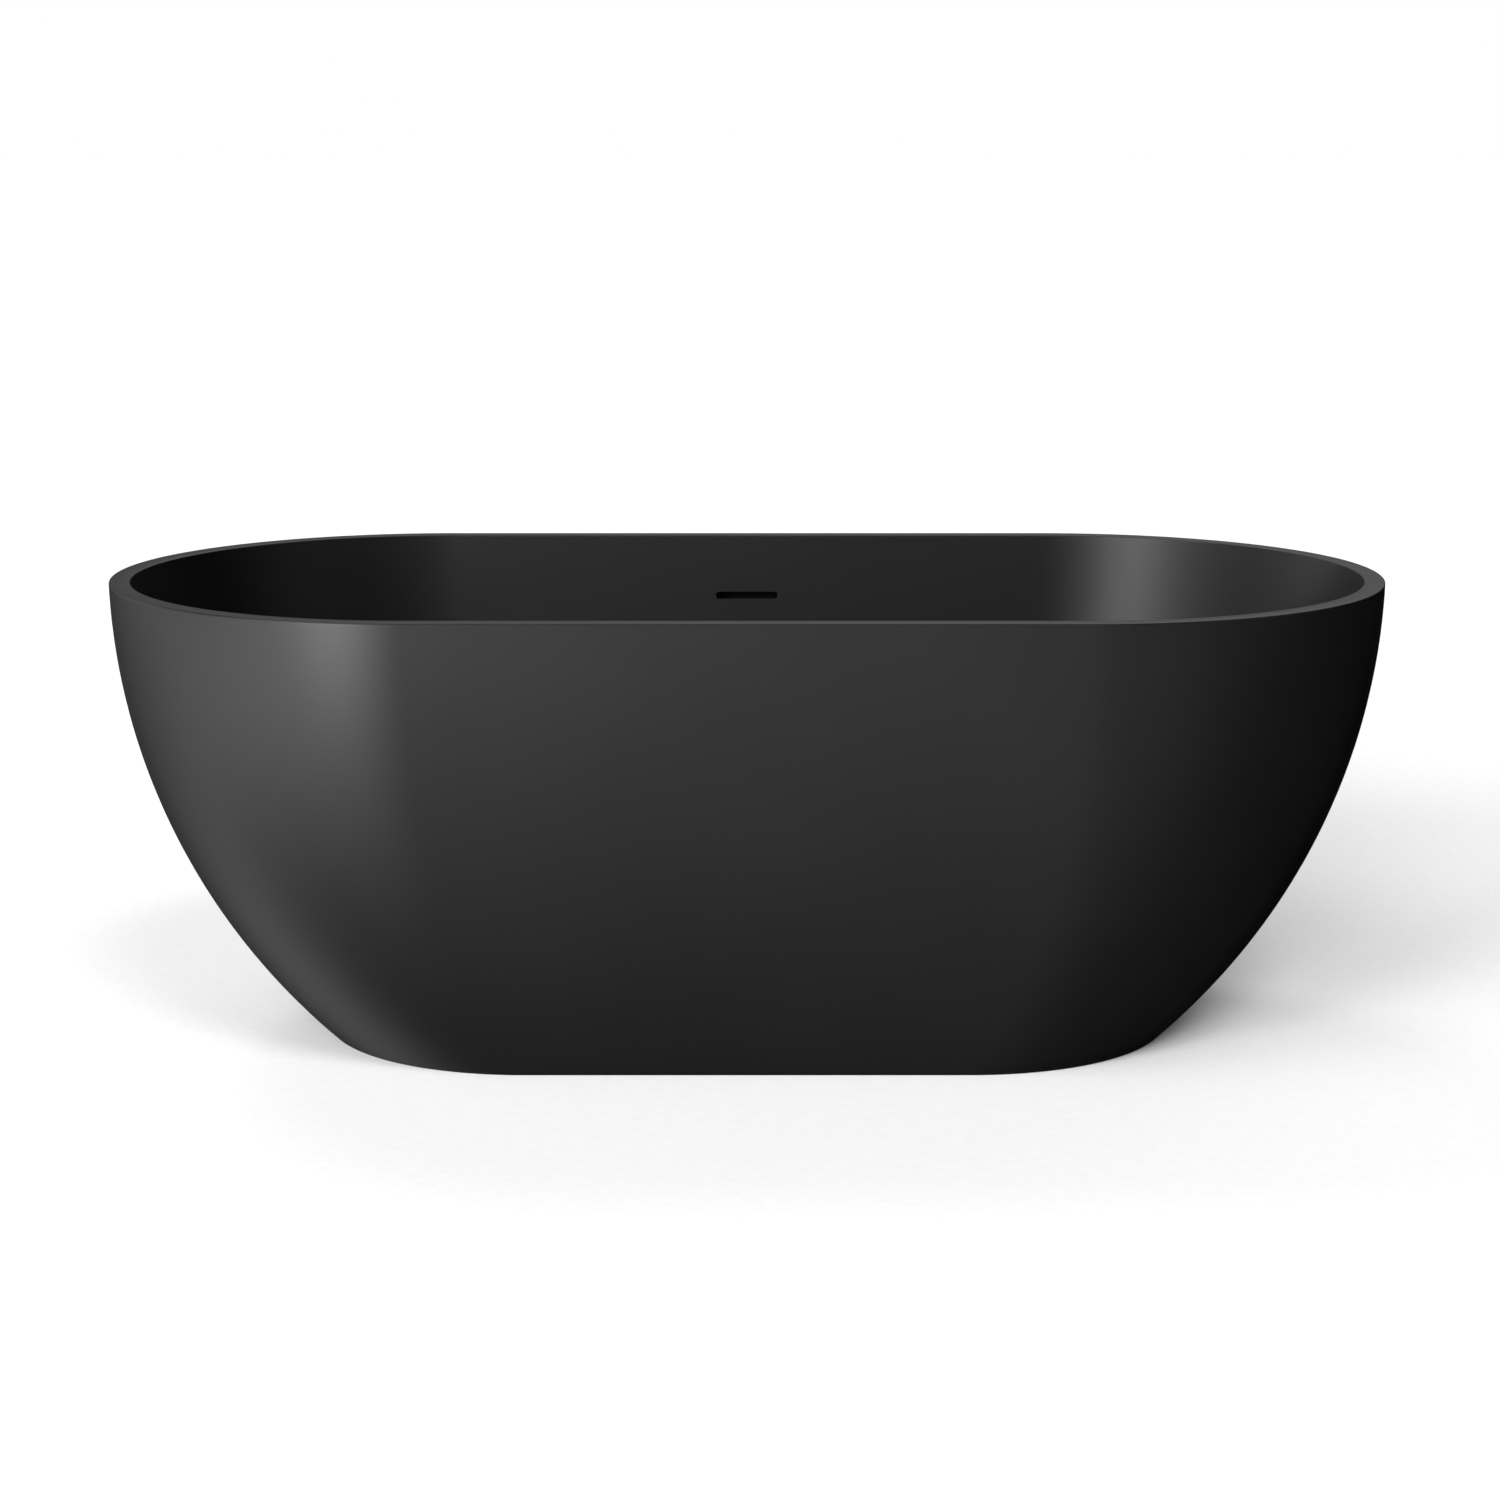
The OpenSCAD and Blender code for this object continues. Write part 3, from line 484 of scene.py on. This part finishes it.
def waste_flange():
    """Flange with a rounded edge and a dished seat, over a threaded tail that carries the plug's cross."""
    tail = thread_rows(2 * TAIL_R, 2 * MM, TAIL_Z, FLANGE_Z - 8 * MM, 0.7 * MM, 5)
    rows = tail + [(FLANGE_Z - 7 * MM, TAIL_R), (FLANGE_Z, TAIL_R), (FLANGE_Z, FLANGE_R - 0.3 * MM)]
    rows += [(FLANGE_Z + 0.3 * MM, FLANGE_R)] + corner_rows(FLANGE_R, DRAIN_Z, 1.4 * MM, 8)
    rows += [(DRAIN_Z, DISH_R + 0.7 * MM), (DRAIN_Z - 0.2 * MM, DISH_R + 0.2 * MM)]
    rows += [(DRAIN_Z - 0.8 * MM, DISH_R), (DISH_Z, DISH_R - 0.6 * MM), (DISH_Z, 26 * MM)]
    mouth = 2 * MM
    throat = corner_rows(THROAT_R + mouth, DISH_Z, mouth, 6)[::-1]
    rows += [(z, 2 * THROAT_R + mouth - r) for z, r in throat]
    rows += [(TAIL_Z + 10 * MM, THROAT_R), (TAIL_Z, THROAT_R)]
    boss_top = TAIL_Z + BOSS_H
    boss = [(TAIL_Z, BOSS_BORE), (TAIL_Z, BOSS_R - 0.5 * MM), (TAIL_Z + 0.5 * MM, BOSS_R)]
    boss += corner_rows(BOSS_R, boss_top, 0.8 * MM) + [(boss_top, BOSS_BORE)]
    arm = block(
        (BOSS_R - 1 * MM, -ARM_W / 2, TAIL_Z), (THROAT_R + 0.6 * MM, ARM_W / 2, boss_top), 0.6 * MM)
    arms = [moved(arm, Matrix.Rotation(math.pi / 2 * i, 4, "Z")) for i in range(4)]
    return combine(turned(rows, 128, looped=True), turned(boss, 48, looped=True), *arms)


def plug_cap():
    """Domed cap with a soft edge and a socket underneath for its stem."""
    dome = CAP_H - CAP_EDGE
    dome_r = (CAP_R**2 + dome**2) / (2 * dome)
    low = CAP_Z + CAP_EDGE
    centre = CAP_Z + CAP_H - dome_r
    rows = [(CAP_Z + 3.8 * MM, 3.55 * MM), (CAP_Z, 3.55 * MM), (CAP_Z, CAP_R - 1 * MM)]
    rows += [(CAP_Z + 0.3 * MM, CAP_R - 0.3 * MM), (CAP_Z + 0.8 * MM, CAP_R)]
    lean = math.asin((CAP_R - 1.2 * MM) / dome_r)
    rows += [(low - 0.6 * MM, CAP_R), (low - 0.1 * MM, CAP_R - 0.15 * MM)]
    rows.append((low + 0.12 * MM, CAP_R - 0.5 * MM))
    for i in range(24):
        t = lean * (1 - i / 24)
        rows.append((centre + dome_r * math.cos(t), dome_r * math.sin(t)))
    return turned(rows, 128)


def hose_path():
    """Points along the overflow hose, a millimetre apart: down beside the shell, then in to the waste."""
    spigot, drop, gap = 24 * MM, 122 * MM, 3 * MM
    inlet_z, inlet_y = 72 * MM, 59 * MM
    lean = math.atan(inner_b.lean(SLOT_Z))
    lower = drop + spigot / 2

    def beside(z):
        return outer_b.at(z) - outer_b.level(z, SHELL_WALL) - gap - HOSE_R

    mid_z = SLOT_Z - lower * math.cos(lean) - 2 * BASIN_WALL * math.sin(lean)
    shell_y = outer_b.at(mid_z) - outer_b.level(mid_z, SHELL_WALL)
    mid_y = (inner_b.at(mid_z) + inner_b.level(mid_z, BASIN_WALL) + shell_y) / 2
    sump = (mid_y - inner_b.at(SLOT_Z) + lower * math.sin(lean)) / math.cos(lean)

    def below_slot(distance):
        y = inner_b.at(SLOT_Z) + sump * math.cos(lean) - distance * math.sin(lean)
        return y, SLOT_Z - sump * math.sin(lean) - distance * math.cos(lean)

    top, free = below_slot(drop + 0.5 * MM), below_slot(drop + spigot + 2 * MM)
    bend_top = 2 * inlet_z
    bend_lean = math.atan(outer_b.lean(bend_top))
    bend_r = (bend_top - inlet_z) / (1 - math.sin(bend_lean))
    drift = free[0] - beside(free[1])
    route = [top]
    for i in range(21):
        z = free[1] + (bend_top - free[1]) * i / 20
        route.append((beside(z) + drift * (1 - i / 20), z))
    for i in range(1, 25):
        a = bend_lean + (math.pi / 2 - bend_lean) * i / 24
        y = beside(bend_top) - bend_r * (math.cos(bend_lean) - math.cos(a))
        route.append((y, bend_top - bend_r * (math.sin(a) - math.sin(bend_lean))))
    route.append((inlet_y - spigot + 0.5 * MM, inlet_z))
    corners = [Vector((0, y, z)) for y, z in route]
    points = []
    for a, b in zip(corners, corners[1:]):
        count = max(1, round((b - a).length / (1 * MM)))
        points += [a.lerp(b, i / count) for i in range(count)]
    return points + [corners[-1]]


def overflow_hose():
    """Corrugated hose with a smooth cuff at each end."""
    path = hose_path()
    length = sum((b - a).length for a, b in zip(path, path[1:]))
    waves = round((length - 2 * CUFF) / WAVE)

    def outer(s):
        along = min(max(s - CUFF, 0) / (length - 2 * CUFF), 1)
        return HOSE_R - WAVE_DEPTH / 2 * (1 - math.cos(2 * math.pi * waves * along))

    return hollow_sweep(path, outer, lambda s: HOSE_BORE_R, 32)


def overflow_screws():
    """Four screws through the corners of the overflow box's plate."""
    facing = Matrix.Rotation(-math.pi / 2, 4, "X")
    corners = [(x * BOX_SCREW_X, BOX_FACE, z * BOX_SCREW_Z) for x in (-1, 1) for z in (-1, 1)]
    return combine(*[moved(cap_screw(), SLOT_FRAME @ Matrix.Translation(c) @ facing) for c in corners])


def cradle_screws():
    """Four screws up through each rail into the board."""
    places = [(x * RAIL_LENGTH, y * RAIL_Y, 0) for x in (-0.3, -0.2, 0.2, 0.3) for y in (-1, 1)]
    return combine(*[moved(cradle_screw(), Vector(p)) for p in places])


body_of = {n: body for body, members in frame["record"]["behaviour"]["bodies"].items() for n in members}
slot_of = {part["node"]: part["material_slot"] for part in frame["record"]["subparts"]}
built = {
    "inner_basin": build_basin(), "outer_shell": build_shell(),
    "waste_flange": waste_flange(), "plug_cap": plug_cap(),
    "cradle_screws": cradle_screws(), "overflow_screws": overflow_screws(),
    "overflow_hose": overflow_hose(),
}
for i, place in enumerate(FOOT_PLACES, 1):
    built[f"foot_pad_{i}"] = moved(foot_pad(), place)
    built[f"foot_stud_{i}"] = moved(foot_stud(), place)
    built[f"foot_locknut_{i}"] = moved(locknut(), place)
pieces = {}
for node, (points, faces) in built.items():
    piece = make(f"{node}_detail", points, faces)
    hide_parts(node)
    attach(piece, body_of[node])
    pieces[node] = piece

# Width of the broken edges on the CAD parts that show as they are
EDGES = {
    "base_board": 0.6 * MM, "rail_front": 1.2 * MM, "rail_back": 1.2 * MM, "rail_end_caps": 0.6 * MM,
    "foot_bushes": 0.4 * MM, "waste_tee": 0.6 * MM, "tailpiece": 0.25 * MM,
    "hose_clamp_top": 0.2 * MM, "hose_clamp_bottom": 0.2 * MM, "overflow_box": 0.4 * MM,
    "waste_lower_gasket": 0.4 * MM, "tail_washer": 0.3 * MM, "plug_seal": 0.4 * MM,
    **{f"crossbar_{i}": 1.2 * MM for i in range(1, 5)},
}
for node, width in EDGES.items():
    weld = nodes[node].modifiers.new("weld", "WELD")
    weld.merge_threshold = 0.01 * MM
    bevel = nodes[node].modifiers.new("edges", "BEVEL")
    bevel.width = width
    bevel.segments = 2
    bevel.angle_limit = math.radians(40)
    bevel.harden_normals = True


# ---- Materials ----

class Value:
    """One output in a finish's nodes. Arithmetic on it adds Math nodes."""

    def __init__(self, nodes, socket):
        self.nodes, self.socket = nodes, socket

    def _math(self, operation, *values):
        return self.nodes.node("ShaderNodeMath", {"operation": operation}, dict(enumerate(values)))

    def __add__(self, other):
        return self._math("ADD", self, other)

    def __sub__(self, other):
        return self._math("SUBTRACT", self, other)

    def __rsub__(self, other):
        return self._math("SUBTRACT", other, self)

    def __mul__(self, other):
        return self._math("MULTIPLY", self, other)

    __radd__, __rmul__ = __add__, __mul__

    def __pow__(self, other):
        return self._math("POWER", self, other)

    def __mod__(self, other):
        return self._math("MODULO", self, other)

    def floor(self):
        return self._math("FLOOR", self)


class Nodes:
    """A node tree that nodes are added to in one way."""

    def __init__(self, tree):
        self.tree = tree

    def node(self, kind, settings=None, values=None, out=0):
        """A node with its settings put first, then the values or links of its sockets."""
        made = self.tree.nodes.new(kind)
        for key, value in (settings or {}).items():
            if key == "stops":
                self._set_stops(made.color_ramp.elements, value)
            else:
                setattr(made, key, value)
        for key, value in (values or {}).items():
            if isinstance(value, Value):
                self.tree.links.new(value.socket, made.inputs[key])
            else:
                made.inputs[key].default_value = value
        return Value(self, made.outputs[out])

    def _set_stops(self, elements, stops):
        while len(elements) < len(stops):
            elements.new(0.5)
        for element, (where, tone) in zip(list(elements), stops):
            element.position, element.color = where, (*tone, 1)


class Finish(Nodes):
    """A material round one Principled shader. Constants go on the shader's own sockets."""

    def __init__(self, name, **constants):
        self.material = bpy.data.materials.new(name)
        self.material.use_nodes = True
        super().__init__(self.material.node_tree)
        self.tree.nodes.clear()
        output = self.tree.nodes.new("ShaderNodeOutputMaterial")
        self.shader = self.tree.nodes.new("ShaderNodeBsdfPrincipled")
        self.tree.links.new(self.shader.outputs[0], output.inputs[0])
        for socket, value in constants.items():
            self.shader.inputs[socket.replace("_", " ")].default_value = value
        self.place = self.node("ShaderNodeTexCoord", out="Object")

    def noise(self, scale, detail=2.0, roughness=0.5, stretch=(1, 1, 1)):
        """Noise from 0 to 1 with features 1 / scale metres across, finer along an axis by its stretch."""
        place = self.node("ShaderNodeVectorMath", {"operation": "MULTIPLY"}, {0: self.place, 1: stretch})
        return self.node(
            "ShaderNodeTexNoise", None,
            {"Vector": place, "Scale": scale, "Detail": detail, "Roughness": roughness},
        )

    def tones(self, amount, *stops):
        """A colour that follows amount through stops of (place, colour)."""
        return self.node("ShaderNodeValToRGB", {"stops": stops}, {"Fac": amount})

    def ramp(self, amount, low, high):
        """0 where amount is below low, 1 above high, and even between."""
        return self.node("ShaderNodeMapRange", None, {"Value": amount, "From Min": low, "From Max": high})

    def mix(self, amount, a, b):
        """Colour a where amount is 0, and b where it is 1."""
        return self.node("ShaderNodeMix", {"data_type": "RGBA"}, {0: amount, 6: a, 7: b}, 2)

    def put(self, **links):
        for socket, value in links.items():
            self.tree.links.new(value.socket, self.shader.inputs[socket.replace("_", " ")])

    def bump(self, height, depth, strength=1.0):
        """Relief whose height, from 0 to 1, stands for depth metres."""
        values = {"Strength": strength, "Distance": depth, "Height": height}
        relief = self.node("ShaderNodeBump", None, values)
        self.tree.links.new(relief.socket, self.shader.inputs["Normal"])


def tub_acrylic():
    """Near-black acrylic, rubbed to an even satin, with a fine grain."""
    finish = Finish("tub_acrylic", IOR=1.45)
    cloud, grain, rub = finish.noise(5, 3), finish.noise(1400, 2), finish.noise(38, 4, 0.6)
    finish.put(Base_Color=finish.tones(
        cloud * 0.7 + grain * 0.3, (0.3, (0.0066, 0.0066, 0.0069)), (0.7, (0.0086, 0.0086, 0.0089)),
    ))
    finish.put(Roughness=cloud * 0.03 + rub * 0.04 + grain * 0.03 + 0.30)
    finish.bump(grain * 0.75 + rub * 0.25, 0.02 * MM, 0.5)
    return finish


def black_metal():
    """Black powder coat on brass, with a fine orange peel."""
    finish = Finish("black_metal", IOR=1.5)
    peel, cloud = finish.noise(1100, 2), finish.noise(70, 3)
    finish.put(Base_Color=finish.tones(
        cloud * 0.6 + peel * 0.4, (0.3, (0.0080, 0.0080, 0.0084)), (0.7, (0.0125, 0.0125, 0.0130)),
    ))
    finish.put(Roughness=peel * 0.12 + cloud * 0.1 + 0.20)
    finish.bump(peel, 0.04 * MM, 0.4)
    return finish


def plywood():
    """Birch plywood: long grain on its faces, and plies of long and end grain along its edge."""
    finish = Finish("plywood", IOR=1.4)
    plies, low = 7, 116 * MM
    height = finish.node("ShaderNodeSeparateXYZ", None, {0: finish.place}, "Z")
    turned_ply = ((height - low) * (plies / (12 * MM)) + 0.001).floor() % 2
    figure, fibre = finish.noise(26, 4, 0.6, (1, 9, 1)), finish.noise(300, 3, 0.6, (1, 14, 14))
    pores = finish.noise(900, 2, 0.5, (1, 1, 0.4))
    long_grain = finish.tones(
        figure * 0.6 + fibre * 0.4,
        (0.25, (0.45, 0.29, 0.155)), (0.5, (0.59, 0.41, 0.235)), (0.75, (0.68, 0.50, 0.31)),
    )
    end_grain = finish.tones(pores, (0.3, (0.25, 0.145, 0.07)), (0.7, (0.42, 0.27, 0.15)))
    finish.put(Base_Color=finish.mix(turned_ply, long_grain, end_grain))
    finish.put(Roughness=fibre * 0.15 + turned_ply * 0.12 + 0.58)
    finish.bump(fibre * 0.6 + pores * 0.4, 0.12 * MM, 0.5)
    return finish


def frame_steel():
    """Grey powder coat on steel tube, with orange peel and faint scuffs along the tubes."""
    finish = Finish("frame_steel", IOR=1.5)
    peel, cloud = finish.noise(700, 2), finish.noise(14, 4, 0.6)
    scuff = finish.noise(60, 5, 0.7, (0.15, 1, 1))
    rubbed = finish.ramp(scuff, 0.60, 0.72)
    finish.put(Base_Color=finish.tones(
        cloud * 0.5 + rubbed * 0.5,
        (0.1, (0.17, 0.178, 0.186)), (0.5, (0.215, 0.224, 0.233)), (0.9, (0.28, 0.29, 0.30)),
    ))
    finish.put(Roughness=peel * 0.1 + cloud * 0.08 - rubbed * 0.06 + 0.42)
    finish.bump(peel, 0.06 * MM, 0.5)
    return finish


def zinc_steel():
    """Bright zinc plate, with a faint blue and straw cast and dull patches."""
    finish = Finish("zinc_steel", Metallic=1.0)
    cast, dull = finish.noise(45, 3, 0.6), finish.noise(160, 4, 0.65)
    fine = finish.noise(2200, 2)
    finish.put(Base_Color=finish.tones(
        cast, (0.3, (0.52, 0.55, 0.60)), (0.5, (0.60, 0.61, 0.61)), (0.7, (0.66, 0.63, 0.54)),
    ))
    finish.put(Roughness=dull * 0.3 + fine * 0.08 + 0.18)
    finish.bump(fine * 0.5 + dull * 0.5, 0.02 * MM, 0.4)
    return finish


def spring_steel():
    """Drawn spring wire, dark in patches from its heat treatment."""
    finish = Finish("spring_steel", Metallic=1.0)
    scale, fine = finish.noise(240, 3), finish.noise(1500, 2)
    finish.put(Base_Color=finish.tones(scale, (0.3, (0.40, 0.40, 0.42)), (0.7, (0.60, 0.60, 0.61))))
    finish.put(Roughness=scale * 0.15 + fine * 0.1 + 0.15)
    return finish


def stem_brass():
    """Turned brass: fine rings from the lathe, and a little tarnish."""
    finish = Finish("stem_brass", Metallic=1.0)
    rings, tarnish = finish.noise(120, 2, 0.5, (0.05, 0.05, 40)), finish.noise(130, 4, 0.6)
    finish.put(Base_Color=finish.tones(
        tarnish, (0.3, (0.44, 0.29, 0.12)), (0.55, (0.65, 0.47, 0.20)), (0.75, (0.72, 0.54, 0.26)),
    ))
    finish.put(Roughness=rings * 0.18 + tarnish * 0.12 + 0.16)
    finish.bump(rings, 0.02 * MM, 0.5)
    return finish


def seal_rubber():
    """Moulded rubber, dull, with a bloom of fine dust in its pores."""
    finish = Finish("seal_rubber", IOR=1.5)
    pores, bloom = finish.noise(1600, 3), finish.noise(50, 4, 0.6)
    finish.put(Base_Color=finish.tones(
        bloom * 0.6 + pores * 0.4, (0.3, (0.014, 0.014, 0.014)), (0.7, (0.026, 0.026, 0.027)),
    ))
    finish.put(Roughness=pores * 0.15 + bloom * 0.1 + 0.65)
    finish.bump(pores, 0.05 * MM, 0.5)
    return finish


def moulded_plastic(name, dark, light, gloss, shine=0.5):
    """Injection-moulded plastic with a spark-eroded texture and slow changes of tone."""
    finish = Finish(name, IOR=1.47, Specular_IOR_Level=shine)
    spark, flow = finish.noise(1300, 2, 0.6), finish.noise(18, 3, 0.6, (1, 1, 0.4))
    finish.put(Base_Color=finish.tones(flow * 0.75 + spark * 0.25, (0.3, dark), (0.7, light)))
    finish.put(Roughness=spark * 0.12 + flow * 0.08 + gloss)
    finish.bump(spark, 0.04 * MM, 0.45)
    return finish


finishes = {
    "tub_acrylic": tub_acrylic(),
    "black_metal": black_metal(),
    "plywood": plywood(),
    "frame_steel": frame_steel(),
    "zinc_steel": zinc_steel(),
    "spring_steel": spring_steel(),
    "stem_brass": stem_brass(),
    "seal_rubber": seal_rubber(),
    # Partly the plastic's own black and partly painted shade: its tone is set far darker than real black
    # plastic, and its shine is cut, so that the overflow slot in front of it reads as a deep shaded hole.
    "black_plastic": moulded_plastic(
        "black_plastic", (0.0025, 0.0025, 0.0027), (0.0045, 0.0045, 0.0047), 0.70, shine=0.2),
    "pale_plastic": moulded_plastic("pale_plastic", (0.62, 0.62, 0.585), (0.72, 0.72, 0.69), 0.32),
    "hose_plastic": moulded_plastic("hose_plastic", (0.52, 0.52, 0.50), (0.63, 0.63, 0.61), 0.36),
}
for node, piece in pieces.items():
    piece.data.materials.append(finishes[slot_of[node]].material)
for node, part in nodes.items():
    if node not in pieces:
        for holder in part.material_slots:
            holder.link = "OBJECT"
            holder.material = finishes[slot_of[node]].material


# ---- Room ----

# Soft boxes: degrees left of the front, degrees up, how narrow, and strength
SOFT_BOXES = [
    (28, -5, 120, 11.0), (34, 15, 120, 6.6), (45, 45, 30, 5.8), (30, -15, 30, 2.2), (60, -15, 30, 2.5),
    (90, -15, 30, 1.3), (120, 15, 30, 1.2), (120, -45, 30, 0.7), (180, 32, 30, 0.52), (-150, 45, 30, 1.4),
    (0, 15, 30, 0.25), (-60, 15, 30, 0.25), (-30, -15, 30, 0.4), (0, -45, 30, 0.2),
]
# Lamps for the floor: degrees left of the front, degrees up, and strength
FLOOR_LAMPS = [(10, 20, 3.1), (35, 20, 3.1), (-20, 50, 1.9), (150, 50, 0.85)]
FLOOR_GLOW = 0.03
LAMP_SPREAD = 20

floor_mesh = bpy.data.meshes.new("studio_floor")
floor_mesh.from_pydata([(-30, -30, 0), (30, -30, 0), (30, 40, 0), (-30, 40, 0)], [], [(0, 1, 2, 3)])
floor = bpy.data.objects.new("studio_floor", floor_mesh)
bpy.context.scene.collection.objects.link(floor)
floor.visible_glossy = False
pale = Finish("studio_pale", Roughness=0.9, Emission_Strength=FLOOR_GLOW)
mottle = pale.noise(60, 2)
pale.put(Base_Color=pale.tones(mottle, (0.3, (0.51, 0.51, 0.51)), (0.7, (0.53, 0.53, 0.53))))
pale.put(Emission_Color=pale.tones(mottle, (0.3, (0.99, 0.99, 0.99)), (0.7, (1, 1, 1))))
floor_mesh.materials.append(pale.material)


def towards(turn, height):
    """Direction of a light, so many degrees left of the front and so many up."""
    turn, height = math.radians(turn), math.radians(height)
    level = math.cos(height)
    return -math.sin(turn) * level, -math.cos(turn) * level, math.sin(height)


def studio_light():
    """Soft boxes round the tub, each a glow that fades out on every side. The camera sees plain white."""
    world = bpy.data.worlds.new("studio")
    world.use_nodes = True
    world.cycles.sampling_method = "NONE"
    nodes_of = Nodes(world.node_tree)
    way = nodes_of.node("ShaderNodeTexCoord", out="Generated")
    light = nodes_of.node("ShaderNodeLightPath", out="Is Camera Ray")
    unseen = 1 - light
    for turn, height, focus, strength in SOFT_BOXES:
        aim = towards(turn, height)
        facing = nodes_of.node(
            "ShaderNodeVectorMath", {"operation": "DOT_PRODUCT"}, {0: way, 1: aim}, "Value")
        light = (facing * 0.5 + 0.5) ** focus * unseen * strength + light
    back = world.node_tree.nodes["Background"]
    back.inputs["Color"].default_value = (1, 1, 1, 1)
    world.node_tree.links.new(light.socket, back.inputs["Strength"])
    return world


def floor_lamp(turn, height, strength):
    """Wide soft lamp that shines on the floor alone, so that the tub throws a shadow there."""
    lamp = bpy.data.objects.new("floor_lamp", bpy.data.lights.new("floor_lamp", "SUN"))
    bpy.context.scene.collection.objects.link(lamp)
    lamp.data.energy = strength
    lamp.data.angle = math.radians(LAMP_SPREAD)
    lamp.rotation_euler = (math.radians(90 - height), 0, math.radians(-turn))
    lamp.visible_glossy = False
    lamp.light_linking.receiver_collection = lit_floor


lit_floor = bpy.data.collections.new("lit_floor")
lit_floor.objects.link(floor)
for turn, height, strength in FLOOR_LAMPS:
    floor_lamp(turn, height, strength)
bpy.context.scene.world = studio_light()

camera = bpy.data.objects.new("camera", bpy.data.cameras.new("camera"))
bpy.context.scene.collection.objects.link(camera)
camera.location = (0, -4.4658, 1.2235)
camera.rotation_euler = (math.radians(90 - 11.014), 0, 0)
camera.data.lens = 85.67
camera.data.sensor_width = 36
camera.data.shift_x = 0.002
bpy.context.scene.camera = camera
bpy.context.scene.view_settings.view_transform = "Standard"
